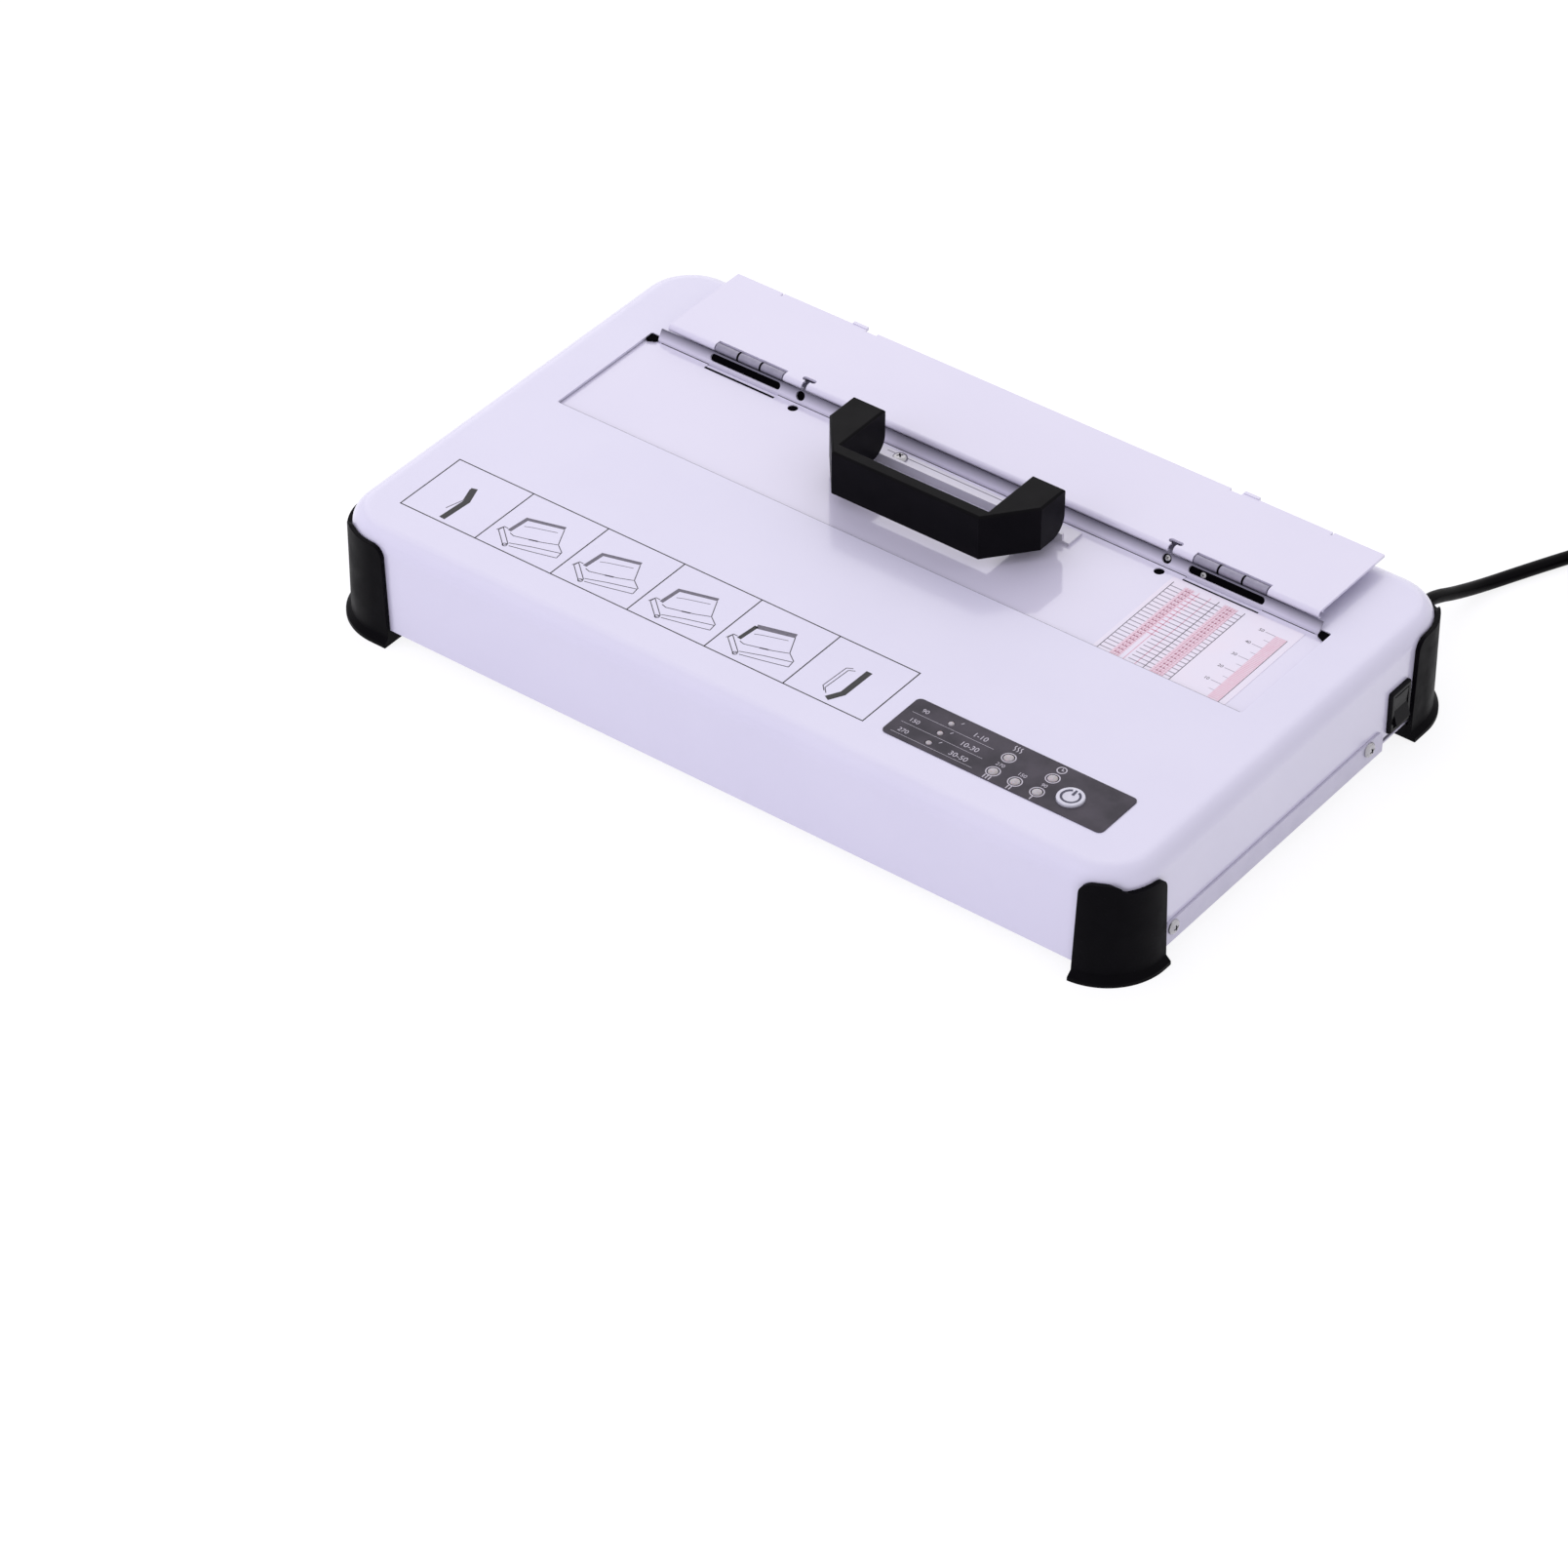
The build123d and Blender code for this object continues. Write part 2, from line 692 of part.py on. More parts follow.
leaf_x = 3 * knuckle - 0.3
rivet_shifts = (-11.0, 11.0)
rivet_y = hinge_y + hinge_r + 7.0
rivet_r = 1.2
with BuildPart() as hinge_base_leaves:
    for side in (-1, 1):
        for index in (-1, 1):
            low, high = knuckle_span(index)
            barrel(side, index)
            block(
                (side * slot_x + low, side * slot_x + high),
                (hinge_y + hinge_r - hinge_t, hinge_y + hinge_r),
                (z_top, hinge_z),
            )
            bore(side, index)
        block(
            around(side * slot_x, leaf_x),
            (hinge_y + hinge_r - hinge_t, hinge_y + hinge_r + leaf_d),
            (z_top, z_top + hinge_t),
        )
        for shift in rivet_shifts:
            drill(
                (side * slot_x + shift, rivet_y, z_top + hinge_t), (0, 0, 1),
                rivet_r + screw_fit / 2, hinge_t,
            )
save(hinge_base_leaves, "hinge_base_leaves")

with BuildPart() as hinge_flap_leaves:
    for side in (-1, 1):
        low, high = knuckle_span(0)
        barrel(side, 0)
        block(
            (side * slot_x + low, side * slot_x + high),
            (hinge_y, hinge_y + hinge_r + 1.0),
            (flap_under - hinge_t, flap_under),
        )
        bore(side, 0)
        block(
            around(side * slot_x, leaf_x),
            (hinge_y + hinge_r + 0.4, hinge_y + hinge_r + leaf_d),
            (flap_under - hinge_t, flap_under),
        )
save(hinge_flap_leaves, "hinge_flap_leaves")

with BuildPart() as hinge_pins:
    for side in (-1, 1):
        with BuildSketch(Plane.YZ.offset(side * slot_x)):
            with Locations((hinge_y, hinge_z)):
                Circle(pin_r)
        extrude(amount=slot_len / 2 - 0.2, both=True)
save(hinge_pins, "hinge_pins")

with BuildPart() as hinge_rivets:
    for side in (-1, 1):
        for shift in rivet_shifts:
            pan_head(
                (side * slot_x + shift, rivet_y, z_top + hinge_t),
                (0, 0, 1), 2.4, 1.2, rivet_r, hinge_t,
            )
save(hinge_rivets, "hinge_rivets")

with BuildPart() as flap_buffers:
    with BuildSketch(Plane.XY.offset(z_top)):
        for side in (-1, 1):
            with Locations((side * (flap_half - buffer_in), flap_front + flap_d - buffer_back)):
                Circle(buffer_r)
    extrude(amount=flap_under - z_top - slip)
    chamfer(flap_buffers.faces().group_by(Axis.Z)[-1].edges(), 0.8)
save(flap_buffers, "flap_buffers")

# ---------------------------------------------------------------- handle on the table
handle_z = table_top + handle_lift
leg_out = handle_len / 2
leg_in = leg_out - handle_leg
leg_mid = (leg_out + leg_in) / 2
nose = 21.0                # length of the slanted corner along the leg
pad_y = (bracket_front, bracket_front + bracket_t)

with BuildPart() as handle_bracket:
    block(
        around(handle_x, 2 * bracket_half),
        (bracket_front, bracket_back),
        (table_top, table_top + bracket_t),
    )
    block(around(handle_x, 2 * bracket_half - 7.4), pad_y, (table_top, table_top + lip_h))
    for side in (-1, 1):
        block(
            around(handle_x + side * leg_mid, ear_w),
            pad_y,
            (table_top, handle_z + ear_top),
        )
        drill(
            (handle_x + side * screw_span, screw_back, table_top + bracket_t), (0, 0, 1),
            bracket_screw_r + screw_fit, bracket_t,
        )
save(handle_bracket, "handle_bracket")

with BuildPart() as handle:
    with BuildSketch(Plane.XY.offset(handle_z)):
        with BuildLine():
            Polyline(
                (handle_x - leg_out, handle_back),
                (handle_x - leg_out, handle_front + nose),
                (handle_x - leg_in, handle_front),
                (handle_x + leg_in, handle_front),
                (handle_x + leg_out, handle_front + nose),
                (handle_x + leg_out, handle_back),
                (handle_x + leg_in, handle_back),
                (handle_x + leg_in, handle_front + handle_bar),
                (handle_x - leg_in, handle_front + handle_bar),
                (handle_x - leg_in, handle_back),
                close=True,
            )
        make_face()
    extrude(amount=handle_h)
    lower_back = (
        handle.edges().filter_by(Axis.X).filter_by(lambda e: e.center().Y > handle_back - 0.1)
    )
    fillet(lower_back.group_by(Axis.Z)[0], 9.0)
    chamfer(handle.faces().sort_by(Axis.Z)[-1].edges(), 0.8)
    for side in (-1, 1):
        # slot for the bracket's ear
        block(
            around(handle_x + side * leg_mid, ear_w + 2 * seat),
            (pad_y[0] - seat / 2, pad_y[1] + seat / 2),
            (handle_z - 1, handle_z + ear_top + seat),
            Mode.SUBTRACT,
        )
save(handle, "handle")

screw_head_z = table_top + bracket_t
with BuildPart() as bracket_screws:
    for side in (-1, 1):
        pan_head(
            (handle_x + side * screw_span, screw_back, screw_head_z), (0, 0, 1), 3.4, 1.9,
            bracket_screw_r, bracket_t + table_t + 1.6,
        )
    chamfer(bracket_screws.faces().group_by(Axis.Z)[-1].edges(), 0.7)
save(bracket_screws, "bracket_screws")

# ---------------------------------------------------------------- heater under the trough
heater_y = (jaw_line - travel - 1.5, jaw_y - slip)
heater_z = heater_top - heater_t
carrier_y = (heater_y[0] + 4.0, heater_y[1] - 4.0)
post_r = 4.0
post_in = 25.0             # from the heater's ends
post_gap = 18.0
carrier_z = z_bot + tray_t + post_r
thermostat_r = 8.0
thermostat_in = 105.0
thermostat_x = heater_half - thermostat_in

with BuildPart() as heater_plate:
    block((-heater_half, heater_half), heater_y, (heater_z, heater_top))
    fillet(heater_plate.edges().filter_by(Axis.X).group_by(Axis.Z)[-1], 0.6)
save(heater_plate, "heater_plate")

with BuildPart() as heater_element:
    block(
        (-heater_half + 8, heater_half - 8),
        (carrier_y[0] + 2.0, carrier_y[1] - 2.0),
        (heater_z - element_t, heater_z),
    )
save(heater_element, "heater_element")

with BuildPart() as heater_carrier:
    with BuildSketch(Plane.YZ):
        with BuildLine():
            Polyline(
                (carrier_y[0], heater_z),
                (carrier_y[0], carrier_z),
                (carrier_y[1], carrier_z),
                (carrier_y[1], heater_z),
                (carrier_y[1] - sheet, heater_z),
                (carrier_y[1] - sheet, carrier_z + sheet),
                (carrier_y[0] + sheet, carrier_z + sheet),
                (carrier_y[0] + sheet, heater_z),
                close=True,
            )
        make_face()
    extrude(amount=heater_half - 4, both=True)
save(heater_carrier, "heater_carrier")

carrier_mid = (carrier_y[0] + carrier_y[1]) / 2
with BuildPart() as heater_posts:
    with BuildSketch(Plane.XY.offset(z_bot + tray_t)):
        with Locations((0, carrier_mid)):
            with GridLocations(2 * (heater_half - post_in), carrier_y[1] - carrier_y[0] - post_gap, 2, 2):
                Circle(post_r)
    extrude(amount=carrier_z - z_bot - tray_t)
save(heater_posts, "heater_posts")

with BuildPart() as thermostat:
    with BuildSketch(Plane.XY.offset(carrier_z + sheet)):
        with Locations((thermostat_x, carrier_mid)):
            Circle(thermostat_r)
    extrude(amount=heater_z - element_t - carrier_z - sheet)
    for shift in (-5.0, 5.0):
        block(
            around(thermostat_x + shift, 1.0),
            around(carrier_mid, 5.0),
            (carrier_z + sheet, carrier_z + sheet + 2.0),
        )
save(thermostat, "thermostat")

# ---------------------------------------------------------------- control panel
panel_top = z_top + panel_t
board_z = z_top - 11.0
board_t = 1.6
board_x = (panel_x[0] + 3, panel_x[1] - 3)
board_y = (panel_y[0] + 2, panel_y[1] - 2)

with BuildPart() as control_panel:
    with BuildSketch(Plane.XY.offset(z_top)):
        with Locations(((panel_x[0] + panel_x[1]) / 2, (panel_y[0] + panel_y[1]) / 2)):
            RectangleRounded(panel_x[1] - panel_x[0], panel_y[1] - panel_y[0], 2.5)
        with Locations(button_spot):
            Circle(button_r + slip, mode=Mode.SUBTRACT)
        with Locations(*lamp_spots):
            Circle(lamp_r + slip, mode=Mode.SUBTRACT)
        with Locations(*dot_spots):
            Circle(dot_r + slip, mode=Mode.SUBTRACT)
    extrude(amount=panel_t)
save(control_panel, "control_panel")

with BuildPart() as panel_lamps:
    for spots, radius in ((lamp_spots, lamp_r), (dot_spots, dot_r)):
        with BuildSketch(Plane.XY.offset(board_z + board_t)):
            with Locations(*spots):
                Circle(radius)
        extrude(amount=panel_top - board_z - board_t + 0.5)
    chamfer(panel_lamps.faces().group_by(Axis.Z)[-1].edges(), 0.5)
save(panel_lamps, "panel_lamps")

tact_h = 4.0
stem_z = board_z + board_t + tact_h + button_travel + 0.1
with BuildPart() as start_button:
    with BuildSketch(Plane.XY.offset(z_skin - slip - 1.5)):
        with Locations(button_spot):
            Circle(button_r + 1.6)
    extrude(amount=1.5)
    with BuildSketch(Plane.XY.offset(z_skin - slip - 1.5)):
        with Locations(button_spot):
            Circle(button_r)
    extrude(amount=panel_top + 1.0 - (z_skin - slip - 1.5))
    chamfer(start_button.faces().sort_by(Axis.Z)[-1].edges(), 0.5)
    with BuildSketch(Plane.XY.offset(stem_z)):
        with Locations(button_spot):
            Circle(2.0)
    extrude(amount=z_skin - slip - 1.5 - stem_z)
save(start_button, "start_button")

with BuildPart() as control_board:
    block(board_x, board_y, (board_z, board_z + board_t))
    block(
        around(button_spot[0], 6.0),
        around(button_spot[1], 6.0),
        (board_z + board_t, board_z + board_t + tact_h),
    )
    for chip_in in (27.0, 39.0):
        block(
            around(panel_x[0] + chip_in, 7.0),
            around((panel_y[0] + panel_y[1]) / 2, 10.0),
            (board_z - 2.0, board_z),
        )
save(control_board, "control_board")

# boards behind the rear jaw
bay_from_jaw = 14.1
bay_from_wall = 15.0
bay_left = 70.0
bay_right = 60.0
bay_lift = 5.0
core_in = 10.0             # transformer, in from the board's left end
core_w = 40.0
core_h = 25.0
flange_h = 3.0
parts_in = (24.0, 46.0)    # tall parts, in from its right end
parts_w = (16.0, 12.0)
parts_h = (15.0, 11.0)
bay_y = (jaw_y + bay_from_jaw, half_d - bay_from_wall)
bay_x = (-bay_left, bay_right)
bay_z = z_bot + tray_t + bay_lift
bay_mid = (bay_y[0] + bay_y[1]) / 2
bay_d = bay_y[1] - bay_y[0]
core_x = (bay_x[0] + core_in, bay_x[0] + core_in + core_w)

with BuildPart() as power_board:
    block(bay_x, (bay_y[0] - 6.0, bay_y[1] + 6.0), (bay_z, bay_z + board_t))
    for from_end, width, depth, height in zip(parts_in, parts_w, (bay_d / 2, bay_d - 4.0), parts_h):
        block(
            around(bay_x[1] - from_end, width),
            around(bay_mid, depth),
            (bay_z + board_t, bay_z + board_t + height),
        )
save(power_board, "power_board")

with BuildPart() as transformer:
    block(core_x, around(bay_mid, bay_d), (bay_z + board_t, bay_z + board_t + flange_h))
    block(
        (core_x[0] + 2.0, core_x[1] - 2.0),
        around(bay_mid, bay_d - 2.0),
        (bay_z + board_t + flange_h, bay_z + board_t + core_h),
    )
    chamfer(transformer.faces().sort_by(Axis.Z)[-1].edges(), 1.5)
save(transformer, "transformer")

with BuildPart() as board_posts:
    for corner_x in (board_x[0] + 4, board_x[1] - 4):
        for corner_y in (board_y[0] + 3, board_y[1] - 3):
            with BuildSketch(Plane.XY.offset(board_z + board_t)):
                with Locations((corner_x, corner_y)):
                    Circle(2.2)
            extrude(amount=z_skin - board_z - board_t)
    for corner_x in (bay_x[0] + 4.0, bay_x[1] - 4.0):
        for corner_y in (bay_y[0] - 2.5, bay_y[1] + 2.5):
            with BuildSketch(Plane.XY.offset(z_bot + tray_t)):
                with Locations((corner_x, corner_y)):
                    Circle(2.2)
            extrude(amount=bay_z - z_bot - tray_t)
save(board_posts, "board_posts")

# ---------------------------------------------------------------- power switch
pivot_x = half_w - 2.2
cavity_y = bezel_y - 4.4
cavity_z = 16.6
rocker_y = cavity_y - 2 * 0.2

with BuildPart() as switch_frame:
    with BuildSketch(Plane.YZ.offset(half_w)):
        with Locations((switch_y, switch_z)):
            RectangleRounded(bezel_y, bezel_z, 1.2)
    extrude(amount=bezel_t)
    chamfer(switch_frame.faces().sort_by(Axis.X)[-1].edges(), 0.7)
    block(
        (half_w - 20.0, half_w),
        around(switch_y, bezel_y - 2.2),
        around(switch_z, bezel_z - 2.2),
    )
    block(
        (half_w - 7.5, half_w + bezel_t + 1),
        around(switch_y, cavity_y),
        around(switch_z, cavity_z),
        Mode.SUBTRACT,
    )
    with BuildSketch(Plane.XZ.offset(-switch_y)):
        with Locations((pivot_x, switch_z)):
            Circle(1.2 + run_fit)
    extrude(amount=cavity_y / 2 + 0.7, both=True, mode=Mode.SUBTRACT)
    for blade_z in (-6.0, 6.0):
        block(
            (half_w - 27.0, half_w - 20.0), around(switch_y, 6.0), around(switch_z + blade_z, 0.8)
        )
save(switch_frame, "switch_frame")

rocker_half = 7.0
rocker_deep = 1.2
rocker_face = 5.0
rocker_dip = 3.8


def tilted(x, z):
    """A point of the rocker's outline, turned about its pivot to the off position."""
    turn = radians(-rocker_tilt)
    return (
        pivot_x + x * cos(turn) + z * sin(turn),
        switch_z - x * sin(turn) + z * cos(turn),
    )


with BuildPart() as switch_rocker:
    with BuildSketch(Plane.XZ.offset(-switch_y)):
        with BuildLine():
            Polyline(
                tilted(-rocker_deep, -rocker_half),
                tilted(rocker_face, -rocker_half),
                tilted(rocker_dip, 0),
                tilted(rocker_face, rocker_half),
                tilted(-rocker_deep, rocker_half),
                close=True,
            )
        make_face()
        with Locations((pivot_x, switch_z)):
            Circle(3.0)
    extrude(amount=rocker_y / 2, both=True)
    with BuildSketch(Plane.XZ.offset(-switch_y)):
        with Locations((pivot_x, switch_z)):
            Circle(1.2)
    extrude(amount=cavity_y / 2 + 0.5, both=True)
save(switch_rocker, "switch_rocker")

# ---------------------------------------------------------------- cord
cord_r = cord_d / 2
wall_y = half_d
gland_end = wall_y + gland_len

with BuildPart() as cord_gland:
    with BuildSketch(Plane.XZ.offset(-wall_y)):
        with Locations((gland_x, gland_z)):
            Circle(gland_hole + 2.2)
    extrude(amount=-2.0)
    with BuildSketch(Plane.XZ.offset(-wall_y + 5.0)):
        with Locations((gland_x, gland_z)):
            Circle(gland_hole - seat)
    extrude(amount=-5.0)
    with BuildSketch(Plane.XZ.offset(-wall_y - 2.0)):
        with Locations((gland_x, gland_z)):
            Circle(cord_r + 2.6)
    with BuildSketch(Plane.XZ.offset(-gland_end)):
        with Locations((gland_x, gland_z)):
            Circle(cord_r + 0.9)
    loft()
    # grooves that let the sleeve bend
    for step in range(4):
        groove_y = wall_y + 6.0 + 4.2 * step
        with BuildSketch(Plane.XZ.offset(-groove_y)):
            with Locations((gland_x, gland_z)):
                Circle(cord_r + 4.0)
                Circle(cord_r + 1.3 - 0.2 * step, mode=Mode.SUBTRACT)
        extrude(amount=-1.2, mode=Mode.SUBTRACT)
save(cord_gland, "cord_gland")


def bend_radii(points):
    """The radius at each inner point: 0.45 of the shorter run over tan of half the turn."""
    radii = []
    for before, here, after in zip(points, points[1:], points[2:]):
        run_in = Vector(*here) - Vector(*before)
        run_out = Vector(*after) - Vector(*here)
        turn = radians(run_in.get_angle(run_out))
        radii.append(0.45 * min(run_in.length, run_out.length) / tan(turn / 2))
    return radii


def path_length(path):
    """Total length of a path's edges."""
    return sum(edge.length for edge in path.edges())


cord_radii = bend_radii(cord_route)
print("cord radii", [round(r, 1) for r in cord_radii])

with BuildPart() as power_cord:
    with BuildLine() as cord_path:
        FilletPolyline(*cord_route, radius=cord_radii)
    with BuildSketch(Plane(origin=cord_path.line @ 0, z_dir=cord_path.line % 0)):
        Circle(cord_r)
    sweep()
cord_free = path_length(cord_path)
print("cord tube", round(power_cord.part.volume / (pi * cord_r**2 * cord_free), 4))
save(power_cord, "power_cord")

# the coil: a flat spiral inwards, then a second layer outwards on top of it
coil_steps = round(4 * coil_turns)
coil_turn = coil_turns / 2 * 2 * pi
coil_outer = coil_inner + coil_turns / 2 * coil_pitch
cord_end = Vector(*cord_route[-1])
heading = (cord_end - Vector(*cord_route[-2])).normalized()
heading_angle = atan2(heading.Y, heading.X)
lean_in = atan(-coil_pitch / (2 * pi) / coil_outer)
ahead_angle = heading_angle - lean_in
ahead = Vector(cos(ahead_angle), sin(ahead_angle), 0)
outward = Vector(-sin(ahead_angle), cos(ahead_angle), 0)
coil_start = cord_end + heading * cord_d
coil_centre = coil_start - outward * coil_outer


def coil_at(angle):
    """Place and direction on the coil's centre line."""
    away = angle - coil_turn
    rate = coil_pitch / (2 * pi)
    radius = coil_inner + abs(away) * rate
    slope = rate if away > 0 else -rate
    if abs(away) < 1e-9:
        slope = 0.0
    climb = min(max(away / pi + 0.5, 0.0), 1.0)
    height = coil_pitch * climb * climb * (3 - 2 * climb)
    rise = coil_pitch * 6 * climb * (1 - climb) / pi
    radial = outward * cos(angle) + ahead * sin(angle)
    along = ahead * cos(angle) - outward * sin(angle)
    place = coil_centre + radial * radius + Vector(0, 0, height)
    direction = radial * slope + along * radius + Vector(0, 0, rise)
    return place, direction.normalized()


def biarc_joint(p0, t0, p1, t1):
    """Where two arcs with these end directions meet, and their direction there."""
    gap = p1 - p0
    both = t0 + t1
    along = gap.dot(both)
    spread = 2 * (1 - t0.dot(t1))
    reach = (-along + sqrt(along**2 + spread * gap.dot(gap))) / spread
    leave = p0 + t0 * reach
    arrive = p1 - t1 * reach
    return (leave + arrive) * 0.5, (arrive - leave).normalized()


with BuildPart() as cord_coil:
    with BuildLine() as coil_path:
        Line(cord_end, coil_start)
        for step in range(coil_steps):
            p0, t0 = coil_at(2 * coil_turn * step / coil_steps)
            p1, t1 = coil_at(2 * coil_turn * (step + 1) / coil_steps)
            joint, joint_dir = biarc_joint(p0, t0, p1, t1)
            TangentArc(p0, joint, tangent=t0)
            TangentArc(joint, p1, tangent=joint_dir)
        coil_end = p1 + t1 * cord_d
        Line(p1, coil_end)
    with BuildSketch(Plane(origin=cord_end, z_dir=heading)):
        Circle(cord_r)
    sweep()
coil_len = path_length(coil_path)
print("coil tube", round(cord_coil.part.volume / (pi * cord_r**2 * coil_len), 4))
print("cord length", round(gland_len + cord_free + coil_len, 1))
save(cord_coil, "cord_coil")

samples = 480
coil_points = [coil_at(2 * coil_turn * i / samples)[0] for i in range(samples + 1)]
skip = samples // 9
nearest = min(
    (coil_points[i] - coil_points[j]).length
    for i in range(samples + 1)
    for j in range(i + skip, samples + 1)
)
print("least gap in the coil", round(nearest - cord_d, 2))

# ---------------------------------------------------------------- plug
plug_dir = t1
plug_plane = Plane(origin=coil_end, x_dir=(plug_dir.Y, -plug_dir.X, 0), z_dir=plug_dir)
plug_z = coil_end.Z        # its axis, which lies half a plug above the floor

with BuildPart() as plug:
    with BuildSketch(plug_plane):
        Circle(cord_r + 0.8)
    with BuildSketch(plug_plane.offset(14.0)):
        Circle(cord_r + 2.5)
    loft()
    with BuildSketch(plug_plane.offset(13.0)):
        RectangleRounded(13.0, 12.0, 4.0)
    with BuildSketch(plug_plane.offset(34.0)):
        RectangleRounded(30.0, 2 * plug_z, 6.0)
    loft()
    with BuildSketch(plug_plane.offset(34.0)):
        RectangleRounded(30.0, 2 * plug_z, 6.0)
    extrude(amount=5.0)
save(plug, "plug")

with BuildPart() as plug_pins:
    with BuildSketch(plug_plane.offset(39.0)):
        with Locations((-6.5, 2.5)):
            Rectangle(6.3, 1.5, rotation=60)
        with Locations((6.5, 2.5)):
            Rectangle(6.3, 1.5, rotation=-60)
        with Locations((0, -4.5)):
            Rectangle(1.5, 6.3)
    extrude(amount=18.0)
save(plug_pins, "plug_pins")
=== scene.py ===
import json
from math import atan2, cos, pi, radians, sin

import bmesh
import bpy
from mathutils import Matrix, Vector


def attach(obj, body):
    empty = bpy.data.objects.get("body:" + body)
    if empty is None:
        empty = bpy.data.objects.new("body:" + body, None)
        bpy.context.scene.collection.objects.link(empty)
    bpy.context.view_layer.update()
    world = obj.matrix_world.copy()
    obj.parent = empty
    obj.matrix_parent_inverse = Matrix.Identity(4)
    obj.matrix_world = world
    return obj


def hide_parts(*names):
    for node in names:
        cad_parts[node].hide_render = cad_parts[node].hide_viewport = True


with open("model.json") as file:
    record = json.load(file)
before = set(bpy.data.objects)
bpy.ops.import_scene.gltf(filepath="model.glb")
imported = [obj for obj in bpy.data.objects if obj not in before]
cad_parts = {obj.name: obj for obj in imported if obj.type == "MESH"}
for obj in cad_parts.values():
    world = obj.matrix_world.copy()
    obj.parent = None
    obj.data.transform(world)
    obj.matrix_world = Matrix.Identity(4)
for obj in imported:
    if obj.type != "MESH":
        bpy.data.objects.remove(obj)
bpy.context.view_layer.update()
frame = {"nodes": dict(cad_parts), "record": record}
nodes = frame["nodes"]
record = frame["record"]
scene = bpy.context.scene
mm = 0.001
print("frame loaded:", len(nodes), "nodes")


# camera at the photograph's own viewpoint
camera = {
    "place": (1.23867, -1.69971, 1.63124),
    "lens": 144.21,
    "sensor": 36.0,
    "yaw": 0.65046,      # turned left from looking along +Y
    "pitch": 0.68017,    # looking down
    "roll": 0.0021,
    "farEnd": 20.0,
}


def makeCamera():
    data = bpy.data.cameras.new("camera")
    data.lens = camera["lens"]
    data.sensor_width = camera["sensor"]
    data.clip_end = camera["farEnd"]
    obj = bpy.data.objects.new("camera", data)
    scene.collection.objects.link(obj)
    turn = (
        Matrix.Rotation(camera["yaw"], 4, "Z")
        @ Matrix.Rotation(pi / 2 - camera["pitch"], 4, "X")
        @ Matrix.Rotation(camera["roll"], 4, "Z")
    )
    obj.matrix_world = Matrix.Translation(camera["place"]) @ turn
    scene.camera = obj


makeCamera()


# sRGB hex code to linear colour
def hexColor(code):
    parts = [int(code[i:i + 2], 16) / 255 for i in (1, 3, 5)]
    linear = [p / 12.92 if p <= 0.04045 else ((p + 0.055) / 1.055) ** 2.4 for p in parts]
    return (*linear, 1.0)


def addNode(tree, kind, settings=None, inputs=None):
    node = tree.nodes.new(kind)
    for key, value in (settings or {}).items():
        setattr(node, key, value)
    for key, value in (inputs or {}).items():
        if isinstance(value, bpy.types.NodeSocket):
            tree.links.new(value, node.inputs[key])
        else:
            node.inputs[key].default_value = value
    return node


# noise scale that gives features of this size
def perMetre(sizeMm):
    return 1000.0 / sizeMm


def meshObject(name, mesh, body, material=None):
    obj = bpy.data.objects.new(name, mesh)
    scene.collection.objects.link(obj)
    if material:
        mesh.materials.clear()
        mesh.materials.append(material)
    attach(obj, body)
    return obj


def shadeByAngle(mesh, angle=35):
    mesh.shade_smooth()
    mesh.set_sharp_from_angle(angle=radians(angle))


# the finished work as a mesh, with its faces turned outwards
def meshOf(work, name):
    bmesh.ops.recalc_face_normals(work, faces=work.faces)
    mesh = bpy.data.meshes.new(name)
    work.to_mesh(mesh)
    work.free()
    return mesh


# an object's mesh with its modifiers or letters worked out
def evaluatedMesh(obj):
    bpy.context.view_layer.update()
    return bpy.data.meshes.new_from_object(
        obj.evaluated_get(bpy.context.evaluated_depsgraph_get())
    )


# rings of corners joined into one closed skin, with a flat cap at each end
def skinned(work, rings):
    count = len(rings[0])
    for a, b in zip(rings, rings[1:]):
        for k in range(count):
            k2 = (k + 1) % count
            work.faces.new((a[k], a[k2], b[k2], b[k]))
    work.faces.new(rings[0][::-1])
    work.faces.new(rings[-1])


# an outline in mm, swept straight along X or Z
def prism(work, outline, axis, start, stop):
    rings = []
    for reach in (start, stop):
        places = [(reach, u, v) if axis == "X" else (u, v, reach) for u, v in outline]
        rings.append([work.verts.new([c * mm for c in place]) for place in places])
    skinned(work, rings)


def roundOutline(radius, centre=(0, 0), steps=32):
    angles = [2 * pi * k / steps for k in range(steps)]
    return [(centre[0] + radius * cos(a), centre[1] + radius * sin(a)) for a in angles]


# a profile of (radius, height) in mm, turned about an upright axis
def spun(work, profile, centre, steps):
    rings = []
    for radius, height in profile:
        spots = roundOutline(radius, centre, steps) if radius else [centre]
        rings.append([work.verts.new((x * mm, y * mm, height * mm)) for x, y in spots])
    for a, b in zip(rings, rings[1:]):
        for k in range(steps):
            k2 = (k + 1) % steps
            if len(a) == 1:
                work.faces.new((a[0], b[k], b[k2]))
            elif len(b) == 1:
                work.faces.new((a[k2], a[k], b[0]))
            else:
                work.faces.new((a[k], b[k], b[k2], a[k2]))


# takes the cutters' shapes out of an object
def cutOut(obj, cutterMeshes):
    cutters = []
    for mesh in cutterMeshes:
        cutter = bpy.data.objects.new(mesh.name, mesh)
        scene.collection.objects.link(cutter)
        cutters.append(cutter)
        cut = obj.modifiers.new("cut", "BOOLEAN")
        cut.operation = "DIFFERENCE"
        cut.solver = "EXACT"
        cut.object = cutter
    made = evaluatedMesh(obj)
    obj.modifiers.clear()
    obj.data = made
    for cutter in cutters:
        bpy.data.objects.remove(cutter)


